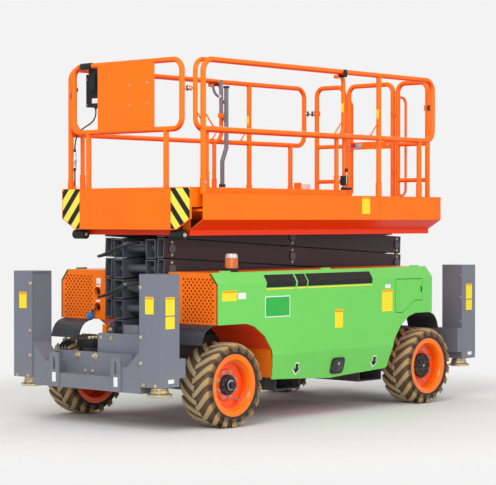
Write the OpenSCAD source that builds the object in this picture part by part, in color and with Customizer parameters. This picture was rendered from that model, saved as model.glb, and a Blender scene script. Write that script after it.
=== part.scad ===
// Self-propelled scissor lift: four driven wheels, levelling outriggers, five pairs of crossed arms
// and a railed work platform with a roll-out extension deck.
// Units are millimetres. X points forward, Y to the left, Z up. The origin is on the floor, at the
// middle of the machine's length and width.

/* [Chassis] */
// Distance between the front and rear axles
wheelbase = 2562; // [2300:10:2700]
// From the front axle to the front face of the outriggers
front_overhang = 746; // [720:2:900]
// From the rear axle to the rear face of the outriggers
rear_overhang = 852; // [760:2:950]
// Height of the chassis rails' top
rail_top = 600; // [560:5:620]
// Height of the belly above the floor
belly_z = 240; // [200:5:270]
// Length of each fork pocket along the machine
pocket_l = 310; // [220:10:400]

/* [Wheels] */
// Outside diameter of the tyres over the lugs
tyre_d = 670; // [620:5:700]
// Width of the tyres
tyre_w = 290; // [250:5:310]
// Width of the machine over the tyres
wheel_span = 1860; // [1800:10:1960]
// Diameter of the rim's flange
rim_d = 492; // [440:2:510]
// Height of the tread lugs
lug_h = 24; // [12:1:32]
// Number of lugs on each side of a tyre
lug_n = 18; // [14:1:22]

/* [Scissor stack] */
// Height of the lowest row of pins
row_z = 743; // [730:1:780]
// Height from one row of pins to the next when lowered
row_h = 165.5; // [164:0.5:180]
// Position of the front column of pins
pin_front_x = 1438; // [1380:1:1450]
// Position of the rear column of pins
pin_rear_x = -1532; // [-1560:1:-1450]
// Height of an arm's tube
arm_h = 155; // [130:1:156]
// Half width of the stack over the outer arms
stack_half = 339; // [330:1:345]
// Width of an outer arm
outer_w = 75; // [60:1:80]
// Width of an inner arm
inner_w = 108; // [80:1:112]
// Wall of the arms' tubes
arm_t = 8; // [5:1:12]
// Diameter of the pins between the arms
pin_d = 56; // [44:2:60]
// Diameter of the cross tubes between the inner arms
cross_d = 64; // [58:2:76]

/* [Side boxes] */
// Width of the machine over the side covers
cover_span = 1806; // [1760:2:1840]
// Front end of the side covers
cover_front_x = 1502; // [1480:2:1540]
// Rear end of the side covers
cover_rear_x = -1313; // [-1340:1:-1290]
// Height of the side boxes' top
box_top = 1219; // [1200:1:1240]
// Height where the covers' upper bevel starts
bevel_z = 1130; // [1100:2:1150]
// Distance between the side boxes' inner walls, each side of the middle
box_in = 365; // [360:1:380]
// Diameter of the grilles' holes
hole_d = 20; // [12:1:24]

/* [Outriggers] */
// Size of an outrigger box along the machine
leg_box_l = 213; // [190:1:230]
// Size of an outrigger box across the machine
leg_box_w = 221; // [200:1:240]
// Outer width over the outrigger boxes
leg_span = 1678; // [1640:2:1760]
// Bottom of the outrigger boxes
leg_box_z = 356; // [340:2:400]
// Diameter of the feet
foot_d = 200; // [160:5:205]

/* [Platform] */
// Width of the main deck over its skirts
deck_w = 1564; // [1500:2:1600]
// Front end of the main deck
deck_front_x = 1542; // [1536:1:1560]
// Rear end of the main deck
deck_rear_x = -1612; // [-1640:1:-1600]
// Height of the main floor
floor_z = 1720; // [1716:1:1740]
// Top of the main deck's skirts
skirt_top = 1841; // [1820:1:1860]
// Top of the guard rails' centre line
rail_z = 2895; // [2840:5:2960]
// Centre line of the middle rails
mid_z = 2347; // [2300:1:2400]
// Diameter of the guard rails' tubes
tube_d = 45; // [34:1:48]

/* [Extension deck] */
// Width of the end plate
plate_w = 1476; // [1400:2:1500]
// Front face of the end plate
plate_x = 1641; // [1620:1:1660]
// Top of the end plate and of the extension's side boards
plate_top = 1891; // [1870:1:1910]
// Length of the extension deck
ext_l = 1960; // [1700:10:2100]

/* [Hidden] */
$fn = 48;
front_x = (front_overhang + wheelbase + rear_overhang) / 2;
rear_x = -front_x;
axle_f = front_x - front_overhang;
axle_r = axle_f - wheelbase;
wheel_r = tyre_d / 2;
wheel_y = (wheel_span - tyre_w) / 2;
king_y = wheel_y - tyre_w / 2 - 40;
arm_run = pin_front_x - pin_rear_x;
arm_a = atan2(row_h, arm_run);
arm_l = sqrt(arm_run * arm_run + row_h * row_h);
arm_front = 88;
arm_rear = 60;
outer_in = stack_half - outer_w;
inner_out = outer_in - 24;
inner_in = inner_out - inner_w;
pin_r = pin_d / 2;
fit = 0.05;
roller_r = 46.7;
cover_y = cover_span / 2;
deck_y = deck_w / 2;
rail_y = deck_y - 21;
tube_r = tube_d / 2;
ext_tube_r = 19;
ext_y = rail_y - tube_r - ext_tube_r - 6;
ext_floor = floor_z + 30;
ext_rear_x = plate_x - ext_l;
ladder_x = -1722;
gate_x = deck_rear_x + 32;
gate_half = 262;
gate_gap = 58;
frame_in = gate_half + gate_gap - 2;
frame_out = rail_y - 105;
gate_pin_x = gate_x + 36;
gate_pin_y = gate_half + 27;
gate_pin_z = [2070, 2600];
arch_z = 812;
slope_z = [300, 542];
slope_w = 60;
cover_hinge_y = cover_y - 78;
cover_hinge_z = box_top + 7;
cover_hinge_x = [-1150, 95, 1340];
door_x0 = -1163;
door_x1 = -783;
door_z0 = 826;
door_z1 = 1114;
door_step = [-1059, 926];
door_low_x = -883;
door_pin_x = door_x1 + 1;
door_pin_y = cover_y + 6;
socket_d = 78;
socket_z = [911, 1040];
beacon_x = 1190;
beacon_y = cover_y - 143;
bumper_z = [300, 412];
leg_in = leg_span / 2 - leg_box_w;
port_x = 1500;
port_top = 1448;
hose_r = 11;
hose_pts = [[1550, -60, 1440], [1550, -90, 1440], [1553, -132, 1424], [1558, -177, 1400], [1570, -222, 1375],
  [1602, -252, 1352], [1645, -262, 1340], [1690, -246, 1338], [1720, -206, 1342], [1728, -158, 1352],
  [1726, -90, 1375], [1715, -20, 1405], [1687, 34, 1428], [1640, 68, 1442], [1585, 80, 1448],
  [1540, 80, 1448], [1500, 80, 1448]];
cable_r = 6;
cable_pts = [[1480, -500, 2553], [1480, -500, 2515], [1483, -512, 2475], [1492, -545, 2438],
  [1506, -592, 2410], [1518, -638, 2380], [1526, -670, 2345], [1530, -690, 2300], [1530, -700, 2250],
  [1530, -702, 2200], [1530, -702, 2120], [1530, -702, 2040], [1530, -702, 1970], [1530, -702, 1915]];
cyl_s = 0.06;
eye_r = 30;
eye_fit = 0.6;
eye_x = pin_rear_x + (1 - cyl_s) * arm_run;
eye_z = row_z + row_h + cyl_s * row_h;
head_x = pin_rear_x + cyl_s * arm_run;
head_z = row_z + 3 * row_h - cyl_s * row_h;
cyl_l = sqrt((eye_x - head_x) * (eye_x - head_x) + (head_z - eye_z) * (head_z - eye_z));
cyl_a = atan2(head_z - eye_z, eye_x - head_x);

orange = "#EE5A12";
green = "#7CC95F";
grey = "#70737C";
dark = "#3A3B40";
black = "#1B1B1D";
arm_c = "#40363C";

// A box given by its two ends on each axis.
module box(x0, x1, y0, y1, z0, z1) {
  translate([x0, y0, z0]) cube([x1 - x0, y1 - y0, z1 - z0]);
}

// The same box on both sides of the machine.
module boxes(x0, x1, y0, y1, z0, z1) {
  box(x0, x1, y0, y1, z0, z1);
  box(x0, x1, -y1, -y0, z0, z1);
}

// A round bar along X, Y or Z.
module xbar(x0, x1, y, z, r) {
  translate([x0, y, z]) rotate([0, 90, 0]) cylinder(r = r, h = x1 - x0);
}
module ybar(x, y0, y1, z, r) {
  translate([x, y0, z]) rotate([-90, 0, 0]) cylinder(r = r, h = y1 - y0);
}
module zbar(x, y, z0, z1, r) {
  translate([x, y, z0]) cylinder(r = r, h = z1 - z0);
}

// A profile in X and Z run along Y, and one in Y and Z run along X.
module xz(y0, y1) {
  translate([0, y1, 0]) rotate([90, 0, 0]) linear_extrude(y1 - y0) children();
}
module yz(x0, x1) {
  translate([x0, 0, 0]) rotate([90, 0, 90]) linear_extrude(x1 - x0) children();
}

// A quarter bend of a tube, from angle a to a + 90.
module bend(rad, r, a) {
  rotate([0, 0, a]) rotate_extrude(angle = 90) translate([rad, 0]) circle(r = r);
}
module bend_xz(x, y, z, rad, r, a) {
  translate([x, y, z]) rotate([90, 0, 0]) bend(rad, r, a);
}
module bend_yz(x, y, z, rad, r, a) {
  translate([x, y, z]) rotate([90, 0, 90]) bend(rad, r, a);
}

// A hose or cable: rings square to the route, closed at both ends.
function along(p, i) = p[min(i + 1, len(p) - 1)] - p[max(i - 1, 0)];
function unit(v) = v / norm(v);
function ring(p, i, r, n, up) =
  let (t = unit(along(p, i)), a = unit(cross(t, up)), b = cross(t, a))
    [for (j = [0 : n - 1]) p[i] + r * (cos(360 * j / n) * a + sin(360 * j / n) * b)];
module sweep(p, r, n, up) {
  m = len(p);
  polyhedron([for (i = [0 : m - 1]) each ring(p, i, r, n, up)],
    concat([[for (j = [0 : n - 1]) j]], [[for (j = [n - 1 : -1 : 0]) (m - 1) * n + j]],
      [for (i = [0 : m - 2]) for (j = [0 : n - 1]) let (k = (j + 1) % n)
        each [[i * n + j, i * n + n + j, i * n + n + k], [i * n + j, i * n + n + k, i * n + k]]]),
    convexity = 4);
}

module both_sides() {
  children();
  mirror([0, 1, 0]) children();
}

// Chassis

module fork_pocket(x) {
  difference() {
    box(x - pocket_l / 2, x + pocket_l / 2, -800, 800, belly_z, 356);
    box(x - pocket_l / 2 + 10, x + pocket_l / 2 - 10, -801, 801, belly_z + 10, 346);
  }
}

module chassis_frame() color(dark) {
  difference() {
    boxes(-front_x + 280, front_x - 280, 215, 315, 410, rail_top);
    boxes(-front_x + 281, front_x - 281, 225, 305, 420, rail_top - 10);
  }
  box(-1500, 1560, -330, 330, rail_top, rail_top + 12);
  box(-1700, -1500, -330, 330, rail_top - 80, rail_top + 12);
  for (x = [-900, -100, 700, 1500]) box(x, x + 80, -215, 215, 430, rail_top);
  fork_pocket(550);
  fork_pocket(-550);
  for (x = [550, -550]) boxes(x - 120, x + 120, 215, 315, 356, 410);
  // slide tracks of the lowest arms
  boxes(380, 1540, outer_in - 10, stack_half + 8, rail_top + 12, row_z - 47);
  // pivot lugs at the rear
  difference() {
    union() {
      boxes(pin_rear_x - 55, pin_rear_x + 55, stack_half + 5, stack_half + 21, rail_top - 60, row_z);
      boxes(pin_rear_x - 55, pin_rear_x + 55, outer_in - 21, outer_in - 5, rail_top - 60, row_z);
      both_sides() ybar(pin_rear_x, stack_half + 5, stack_half + 21, row_z, 55);
      both_sides() ybar(pin_rear_x, outer_in - 21, outer_in - 5, row_z, 55);
    }
  }
  both_sides() ybar(pin_rear_x, outer_in - 21, stack_half + 23, row_z, pin_r);
}

// Outline of a side box from the front, over the wheels and back; t moves it inward.
function arch(x, s, t) = [
  [x + s * (165 - t * 0.2), arch_z + t], [x + s * (260 + t * 0.3), 786 + t * 0.9],
  [x + s * (380 + t * 0.6), 706 + t * 0.7], [x + s * (470 + t * 0.9), 590 + t * 0.4],
  [x + s * (505 + t), 450], [x + s * (520 + t), 356 + t]];
function tray_pts(t, open) = concat(
  [[cover_front_x - 12 + open, box_top - t], [cover_front_x - 12 + open, arch_z + t]],
  arch(axle_f, -1, t),
  [for (i = [5 : -1 : 0]) arch(axle_r, 1, t)[i]],
  [[cover_rear_x + t, arch_z + t], [cover_rear_x + t, box_top - t]]);

module tray_left() {
  difference() {
    xz(box_in, cover_y - 20) polygon(tray_pts(0, 0));
    xz(box_in + 6, cover_y + 1) polygon(tray_pts(8, 20));
    yz(cover_rear_x - 1, cover_front_x + 1) polygon([[cover_y - 78.3, box_top + 1],
      [cover_y - 78.3, box_top - 10], [cover_y - 20, bevel_z - 12], [cover_y + 1, bevel_z - 12],
      [cover_y + 1, box_top + 1]]);
    // clear of the covers' lower slope
    yz(cover_rear_x - 1, cover_front_x + 1) polygon([[cover_y + 1, slope_z[1] - 27],
      [cover_y - 19, slope_z[1] - 27], [cover_y - slope_w - 14, slope_z[0] - 8],
      [cover_y + 1, slope_z[0] - 8]]);
  }
}

module side_trays() color(orange) {
  both_sides() tray_left();
}

module grille_left(sockets) {
  yz(cover_front_x - 12, cover_front_x) difference() {
    polygon([[box_in, arch_z], [cover_y - 12, arch_z], [cover_y - 14, bevel_z - 10],
      [cover_y - 88, box_top], [box_in, box_top]]);
    for (j = [0 : 14])
      for (i = [0 : 7])
        let (y = box_in + 165 + 42 * i + 21 * (j % 2), z = arch_z + 24 + 23.5 * j)
          if (y < cover_y - 45 - max(0, z - bevel_z) * 0.8)
            translate([y, z]) circle(d = hole_d, $fn = 24);
    for (z = sockets) translate([box_in + 92, z]) circle(d = socket_d);
  }
}

module front_grilles() color(orange) {
  grille_left([]);
  mirror([0, 1, 0]) grille_left(socket_z);
}

module battery_packs() color(dark) {
  boxes(-620, 640, box_in + 20, cover_y - 90, 364.3, 860);
}

// A curved flap below the end of a side box; s points away from the wheel.
module flap(x, s) {
  xz(box_in + 165, cover_y - 40) polygon([[x - s * 12, arch_z], [x + s * 2, arch_z],
    [x + s * 40, arch_z - 8], [x + s * 76, arch_z - 24], [x + s * 106, arch_z - 48],
    [x + s * 132, arch_z - 88], [x + s * 153, arch_z - 151], [x + s * 145, arch_z - 153],
    [x + s * 124, arch_z - 93], [x + s * 100, arch_z - 55], [x + s * 71, arch_z - 31],
    [x + s * 36, arch_z - 16], [x - s * 12, arch_z - 8]]);
}

module mud_flaps() color(dark) both_sides() {
  flap(cover_front_x, 1);
  flap(cover_rear_x, -1);
}

module axles() color(dark) {
  // front beam with a yoke round each kingpin
  box(axle_f - 70, axle_f + 70, -king_y + 70, king_y - 70, wheel_r - 60, wheel_r + 60);
  boxes(axle_f - 70, axle_f + 70, 215, 315, wheel_r + 50, 410);
  both_sides() {
    difference() {
      union() {
        box(axle_f - 60, axle_f + 60, king_y - 110, king_y, wheel_r - 125, wheel_r + 125);
        zbar(axle_f, king_y, wheel_r - 125, wheel_r + 125, 60);
      }
      box(axle_f - 61, axle_f + 61, king_y - 66, king_y + 61, wheel_r - 85, wheel_r + 85);
    }
    zbar(axle_f, king_y, wheel_r - 125, wheel_r + 125, 25);
  }
  // rear beam with fixed hub carriers
  box(axle_r - 80, axle_r + 80, -king_y, king_y, wheel_r - 70, wheel_r + 70);
  boxes(axle_r - 80, axle_r + 80, 215, 315, wheel_r + 60, 410);
  both_sides() ybar(axle_r, king_y - 10, wheel_y - 6, wheel_r, 110);
  both_sides() ybar(axle_r, wheel_y - 7, wheel_y + 29.7, wheel_r, 40);
}

module front_beam() color(grey) {
  back_x = front_x - leg_box_l;
  face_x = front_x - 14;
  box(front_x - 280, back_x, -leg_span / 2, leg_span / 2, 420, 570);
  // folded bumper with an upright plate behind it
  xz(-400, 400) polygon([[front_x - 150, 585], [front_x - 142, 585], [front_x - 142, bumper_z[1]],
    [face_x, bumper_z[1]], [face_x, bumper_z[0]], [front_x - 150, bumper_z[0]],
    [front_x - 150, bumper_z[0] + 8], [face_x - 8, bumper_z[0] + 8], [face_x - 8, bumper_z[1] - 8],
    [front_x - 150, bumper_z[1] - 8]]);
  // end boxes and the gussets up to the outriggers
  boxes(back_x, face_x, 399, leg_in, bumper_z[0], 500);
  both_sides() yz(front_x - 185, face_x) polygon([[leg_in, 640], [leg_in, 499], [leg_in - 148, 499]]);
  // slotted towing lugs
  both_sides() yz(face_x - 1, face_x + 12) difference() {
    union() {
      translate([300, bumper_z[0]]) square([110, 255]);
      translate([320, bumper_z[0]]) square([70, 275]);
      for (y = [320, 390]) translate([y, bumper_z[0] + 255]) circle(20);
    }
    translate([342, 445]) square([26, 80]);
    for (z = [445, 525]) translate([355, z]) circle(13);
  }
  // upright cover plate
  yz(back_x, back_x + 8) difference() {
    translate([-60, 501]) square([660, 234]);
    translate([-60, 711]) difference() {
      translate([-1, 0]) square(25);
      translate([24, 0]) circle(24);
    }
  }
}

module rear_beam() color(grey) {
  box(rear_x + leg_box_l, rear_x + 280, -leg_span / 2, leg_span / 2, 420, 640);
  box(rear_x + 140, rear_x + leg_box_l + 12, -600, 600, 300, 312);
  box(rear_x + 140, rear_x + 150, -600, 600, 300, 430);
  box(rear_x + leg_box_l, rear_x + leg_box_l + 12, -600, 600, 300, 430);
}

module leg_box(x0, s) {
  y1 = leg_span / 2;
  y0 = y1 - leg_box_w;
  difference() {
    box(x0, x0 + leg_box_l, s > 0 ? y0 : -y1, s > 0 ? y1 : -y0, leg_box_z, box_top);
    zbar(x0 + leg_box_l / 2, s * (y0 + y1) / 2, leg_box_z - 1, box_top - 30, 46.4);
    // the inner side is set back between the flanges
    box(x0 + 12, x0 + leg_box_l - 12, s > 0 ? y0 - 1 : -y0 - 9, s > 0 ? y0 + 9 : -y0 + 1, 660, box_top - 9);
  }
}

module outrigger_boxes() color(grey) {
  for (s = [1, -1]) {
    leg_box(front_x - leg_box_l, s);
    leg_box(rear_x, s);
  }
}

// An outrigger's leg with its round foot, raised.
module leg(x, s) {
  translate([x, s * (leg_span - leg_box_w) / 2, 0]) {
    zbar(0, 0, 300, box_top - 90, 46);
    zbar(0, 0, 300, 345, 66);
    rotate_extrude() polygon([[0, 282], [foot_d / 2 - 6, 282], [foot_d / 2, 288], [foot_d / 2, 298],
      [70, 312], [0, 312]]);
  }
}

module leg_fl() color(grey) leg(front_x - leg_box_l / 2, 1);
module leg_fr() color(grey) leg(front_x - leg_box_l / 2, -1);
module leg_rl() color(grey) leg(rear_x + leg_box_l / 2, 1);
module leg_rr() color(grey) leg(rear_x + leg_box_l / 2, -1);

module ladder() color(orange) {
  both_sides() zbar(ladder_x, 190, 520, 1470, 20);
  for (z = [640, 910, 1180, 1440]) ybar(ladder_x, -190, 190, z, 14);
  both_sides() box(ladder_x, -1700, 170, 210, 530, 600);
}

module beacon_base() color(black) zbar(beacon_x, beacon_y, box_top, box_top + 30, 52);
module beacon_lens() color("#E8940E") {
  translate([beacon_x, beacon_y, box_top + 30]) rotate_extrude() polygon([[0, 0], [46, 0], [44, 70], [36, 100],
    [20, 112], [0, 114]]);
}

// Wheels

module tyre() {
  rr = rim_d / 2 - 34;
  core = wheel_r - lug_h;
  hw = tyre_w / 2;
  rotate([-90, 0, 0]) rotate_extrude() polygon([[rr, -hw + 32], [rr + 36, -hw + 20], [rr + 38, -hw + 6],
    [rr + 64, -hw], [core - 30, -hw], [core - 8, -hw + 14], [core, -hw + 40], [core, hw - 40],
    [core - 8, hw - 14], [core - 30, hw], [rr + 64, hw], [rr + 38, hw - 6], [rr + 36, hw - 20],
    [rr, hw - 32]]);
  intersection() {
    ybar(0, -hw, hw, 0, wheel_r);
    for (i = [0 : lug_n - 1]) {
      rotate([0, i * 360 / lug_n, 0]) translate([0, 0, core - 50]) linear_extrude(90)
        polygon([[-4, -10], [32, -10], [-90, hw], [-140, hw]]);
      rotate([0, (i + 0.5) * 360 / lug_n, 0]) translate([0, 0, core - 50]) linear_extrude(90)
        polygon([[-4, 10], [32, 10], [-90, -hw], [-140, -hw]]);
    }
  }
}

// The rim's section as radius and distance outward from the tyre's middle.
module rim() {
  fr = rim_d / 2;
  hw = tyre_w / 2 - 8;
  seat = fr - 34 - fit;
  rotate([-90, 0, 0]) rotate_extrude() polygon([[fr, hw], [fr, hw - 10], [seat, hw - 22],
    [seat, -hw + 22], [fr, -hw + 10], [fr, -hw], [seat - 12, -hw + 6], [seat - 12, 26],
    [128, 26], [128, 42], [seat - 30, 52], [seat - 16, hw - 22], [seat - 8, hw - 4]]);
}

module hub_front() {
  rotate([-90, 0, 0]) rotate_extrude() polygon([[0, 26], [128 - fit, 26], [128 - fit, 42], [120, 56],
    [74, 56], [70, 96], [56, 108], [0, 108]]);
  for (i = [0 : 7])
    rotate([0, i * 45, 0]) translate([98, 0, 0]) ybar(0, 50, 76, 0, 13);
}

module hub_rear() {
  rotate([-90, 0, 0]) rotate_extrude() polygon([[0, 30], [40.3, 30], [40.3, 26], [128 - fit, 26],
    [128 - fit, 42], [134, 60], [134, 72], [120, 84], [40, 92], [0, 92]]);
}

module at_wheel(x, s) {
  translate([x, s * wheel_y, wheel_r]) scale([1, s, 1]) children();
}

module tyre_fl() color(black) at_wheel(axle_f, 1) tyre();
module tyre_fr() color(black) at_wheel(axle_f, -1) tyre();
module tyre_rl() color(black) at_wheel(axle_r, 1) tyre();
module tyre_rr() color(black) at_wheel(axle_r, -1) tyre();
module rim_fl() color(orange) at_wheel(axle_f, 1) rim();
module rim_fr() color(orange) at_wheel(axle_f, -1) rim();
module rim_rl() color(orange) at_wheel(axle_r, 1) rim();
module rim_rr() color(orange) at_wheel(axle_r, -1) rim();
module hub_fl() color(black) at_wheel(axle_f, 1) hub_front();
module hub_fr() color(black) at_wheel(axle_f, -1) hub_front();
module hub_rl() color(black) at_wheel(axle_r, 1) hub_rear();
module hub_rr() color(black) at_wheel(axle_r, -1) hub_rear();

// A steering knuckle: kingpin sleeve and the drum that carries the hub.
module knuckle() {
  difference() {
    union() {
      zbar(axle_f, king_y, wheel_r - 80, wheel_r + 80, 50);
      ybar(axle_f, king_y, wheel_y - 6, wheel_r, 70);
      ybar(axle_f, king_y + 62, wheel_y - 6, wheel_r, 115);
      ybar(axle_f, wheel_y - 7, wheel_y + 25.7, wheel_r, 40);
    }
    zbar(axle_f, king_y, wheel_r - 130, wheel_r + 130, 25 + fit);
  }
}

module knuckle_left() color(dark) knuckle();
module knuckle_right() color(dark) mirror([0, 1, 0]) knuckle();

// Side covers

// The cover's outline from the side, hollowed over each wheel.
function cover_pts() = concat(
  [[cover_front_x, box_top], [cover_front_x, arch_z]], arch(axle_f, -1, 0),
  [[axle_f - 516, 344], [250, 318], [68, 306], [-120, 318], [axle_r + 552, 344]],
  [for (i = [5 : -1 : 0]) arch(axle_r, 1, 0)[i]],
  [[cover_rear_x, arch_z], [cover_rear_x, box_top]]);

module cover() {
  difference() {
    union() {
      intersection() {
        yz(cover_rear_x - 1, cover_front_x + 1) polygon([[cover_hinge_y, box_top],
          [cover_hinge_y + 6, box_top], [cover_y, bevel_z], [cover_y, slope_z[1]],
          [cover_y - slope_w, slope_z[0]], [cover_y - slope_w - 6, slope_z[0]],
          [cover_y - 6, slope_z[1] + 1], [cover_y - 6, bevel_z - 2], [cover_hinge_y + 1, box_top - 6]]);
        xz(cover_y - 200, cover_y + 10) polygon(cover_pts());
      }
      for (x = cover_hinge_x) {
        xbar(x - 60, x + 60, cover_hinge_y, cover_hinge_z, 6);
        box(x - 60, x + 60, cover_hinge_y, cover_hinge_y + 6, box_top - 4, cover_hinge_z);
      }
    }
    children();
  }
}

// The door's outline, grown by c.
function door_pts(c) = [[door_x1 + c, door_z1 + c], [door_x0 - c, door_z1 - 4 + c],
  [door_x0 - c, door_step[1] - c], [door_step[0] - 0.3 * c, door_step[1] - c],
  [door_low_x - 0.3 * c, door_z0 - c], [door_x1 + c, door_z0 - c]];

module cover_left() color(green) cover() xz(cover_y - 20, cover_y + 5) polygon(door_pts(5));
module cover_right() color(green) mirror([0, 1, 0]) cover();
module access_door() color(green) {
  xz(cover_y - 5, cover_y + 1) polygon(door_pts(0));
  box(door_x1 - 14, door_x1, cover_y, door_pin_y, door_z0 + 20, door_z1 - 20);
  zbar(door_pin_x, door_pin_y, door_z0 + 20, door_z1 - 20, 5);
}

// Scissor arms

// Puts an arm of the given row in place: outer arms rise to the front, inner ones to the rear.
module at_outer(k) {
  translate([pin_rear_x, 0, row_z + (k - 1) * row_h]) rotate([0, -arm_a, 0]) children();
}
module at_inner(k) {
  translate([pin_rear_x, 0, row_z + k * row_h]) rotate([0, arm_a, 0]) children();
}

module arm_tube(y0, y1) {
  difference() {
    box(-arm_rear, arm_l + arm_front, y0, y1, -arm_h / 2, arm_h / 2);
    box(-arm_rear - 1, arm_l + arm_front + 1, y0 + arm_t, y1 - arm_t, -arm_h / 2 + arm_t, arm_h / 2 - arm_t);
  }
}

module outer_pair(k) color(arm_c) at_outer(k) both_sides() difference() {
  arm_tube(outer_in, stack_half);
  for (u = [0, arm_l / 2, arm_l]) ybar(u, outer_in - 1, stack_half + 1, 0, pin_r + fit);
}

// Two tubes joined by a cross tube at each end, with pin ends through the outer arms.
module inner_pair(k) color(arm_c) at_inner(k) {
  both_sides() arm_tube(inner_in, inner_out);
  for (u = [0, arm_l]) ybar(u, -inner_out, inner_out, 0, cross_d / 2);
  both_sides() {
    for (u = [0, arm_l / 2, arm_l]) {
      ybar(u, inner_out - 60, stack_half + 2, 0, pin_r);
      ybar(u, inner_out - 1, outer_in - 2, 0, pin_r + 12);
    }
    ybar(arm_l / 2, inner_in, inner_out, 0, pin_r);
    for (u = [k < 5 ? 0 : arm_l, arm_l / 2, k > 1 ? arm_l : 0])
      ybar(u, stack_half + 2, stack_half + 11, 0, pin_r + 8);
  }
  children();
}

module outer_1() outer_pair(1);
module outer_2() outer_pair(2);
module outer_3() outer_pair(3);
module outer_4() outer_pair(4);
// The top outer arms carry rollers in the platform's track, the lowest inner arms in the chassis track.
module outer_5() color(arm_c) {
  outer_pair(5);
  at_outer(5) both_sides() {
    ybar(arm_l, outer_in - 62, outer_in - 4, 0, roller_r);
    ybar(arm_l, outer_in - 10, stack_half + 9, 0, pin_r + 4);
  }
}
module inner_1() inner_pair(1) both_sides() ybar(arm_l, outer_in + 2, stack_half - 2, 0, roller_r);
module inner_2() inner_pair(2)
  ybar((1 - cyl_s) * arm_l, -inner_in - 4, inner_in + 4, 0, eye_r);
module inner_3() {
  inner_pair(3) ybar(cyl_s * arm_l, -inner_in - 4, inner_in + 4, 0, eye_r);
  hose_ports(3);
}
module inner_4() inner_pair(4);
module inner_5() {
  inner_pair(5);
  hose_ports(5);
}

// A block on the front cross tube of inner pair k with a fitting for each end of its hose.
module hose_ports(k) color(arm_c) translate([0, 0, (k - 5) * row_h]) {
  box(pin_front_x - 14, port_x - 10, -50, 100, row_z + 4 * row_h + 18, port_top + 12);
  xbar(port_x - 11, port_x, hose_pts[len(hose_pts) - 1][1], port_top, hose_r + 4);
  box(port_x - 20, hose_pts[0][0] + 16, -50, -34, 1424, port_top + 12);
  ybar(hose_pts[0][0], hose_pts[0][1], -49, hose_pts[0][2], hose_r + 4);
}

module hose_upper() color(black) sweep(hose_pts, hose_r, 10, [0, 0, 1]);
module hose_lower() color(black) translate([0, 0, -2 * row_h]) sweep(hose_pts, hose_r, 10, [0, 0, 1]);

// The lift cylinder lies between the inner arms; u runs from its lower eye to its upper saddle.
module at_cylinder() {
  translate([eye_x, 0, eye_z]) rotate([0, cyl_a, 0]) rotate([0, 0, 180]) children();
}

module lift_barrel() color(black) at_cylinder() difference() {
  union() {
    ybar(0, -50, 50, 0, 54);
    xbar(eye_r + 6, cyl_l - 330, 0, 0, 65);
  }
  ybar(0, -51, 51, 0, eye_r + eye_fit);
  xbar(110, cyl_l - 360, 0, 0, 51);
  xbar(110, cyl_l - 320, 0, 0, 41);
}

module lift_rod() color("#B9BCC2") at_cylinder() {
  xbar(150, cyl_l - 90, 0, 0, 40);
  xbar(150, 200, 0, 0, 50);
  difference() {
    xz(-35, 35) polygon([[cyl_l - 130, -40], [cyl_l + 30, -40], [cyl_l + 30, -22], [cyl_l - 80, -10],
      [cyl_l - 90, 20], [cyl_l - 130, 30]]);
    ybar(cyl_l, -36, 36, 0, eye_r + eye_fit);
  }
}

// Platform

module platform_deck() color(orange) {
  box(deck_rear_x + 2, deck_front_x - 2, -deck_y + 4, deck_y - 4, floor_z - 20, floor_z);
  both_sides() yz(deck_rear_x, deck_front_x) polygon([[deck_y, skirt_top], [deck_y, 1635],
    [deck_y - 140, 1551], [deck_y - 140, 1510], [deck_y - 146, 1510], [deck_y - 146, 1555],
    [deck_y - 6, 1639], [deck_y - 6, skirt_top - 6], [deck_y - 42, skirt_top - 6],
    [deck_y - 42, skirt_top]]);
  box(deck_front_x - 9, deck_front_x - 1, -deck_y + 143, deck_y - 143, 1512, floor_z - 5);
  box(deck_rear_x + 1, deck_rear_x + 9, -deck_y + 3, -gate_half - 30, floor_z - 10, skirt_top - 3);
  box(deck_rear_x + 1, deck_rear_x + 9, gate_half + 30, deck_y - 3, floor_z - 10, skirt_top - 3);
  // track over the front ends of the top arms
  boxes(380, 1520, 150, outer_in - 2, row_z + 5 * row_h + 47, floor_z - 19);
  // lugs on the rear ends of the top arms
  both_sides() difference() {
    union() {
      box(pin_rear_x - 50, pin_rear_x + 50, outer_in, stack_half, row_z + 5 * row_h, floor_z - 19);
      ybar(pin_rear_x, outer_in, stack_half, row_z + 5 * row_h, 50);
    }
    ybar(pin_rear_x, outer_in - 1, stack_half + 1, row_z + 5 * row_h, pin_r + fit);
  }
}

module side_rail() {
  x0 = deck_rear_x + 99;
  x1 = deck_front_x - 23;
  b = 100;
  xbar(x0 + b, x1 - b, rail_y, rail_z, tube_r);
  xbar(x0 + b, x1, rail_y, mid_z, tube_r);
  // turned down at the rear into the middle rail and at the front into the corner post
  zbar(x0, rail_y, mid_z + b, rail_z - b, tube_r);
  bend_xz(x0 + b, rail_y, rail_z - b, b, tube_r, 90);
  bend_xz(x0 + b, rail_y, mid_z + b, b, tube_r, 180);
  zbar(x1, rail_y, skirt_top, rail_z - b, tube_r);
  bend_xz(x1 - b, rail_y, rail_z - b, b, tube_r, 0);
  zbar(x0 + 205, rail_y, skirt_top, mid_z, tube_r);
  zbar(x0 + 795, rail_y, skirt_top, rail_z, tube_r);
}

module side_rails() color(orange) both_sides() side_rail();

module rear_rails() color(orange) {
  both_sides() rear_frame();
  both_sides() grab_bar();
  gate_pins();
}

module rear_frame() {
  b = 80;
  ybar(gate_x, frame_in + b, frame_out - b, rail_z, tube_r);
  bend_yz(gate_x, frame_in + b, rail_z - b, b, tube_r, 90);
  bend_yz(gate_x, frame_out - b, rail_z - b, b, tube_r, 0);
  zbar(gate_x, frame_in, floor_z, rail_z - b, tube_r);
  zbar(gate_x, frame_out, floor_z, rail_z - b, tube_r);
  for (z = [mid_z - 15, 2000]) ybar(gate_x, frame_in, frame_out, z, tube_r - 3);
}

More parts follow.
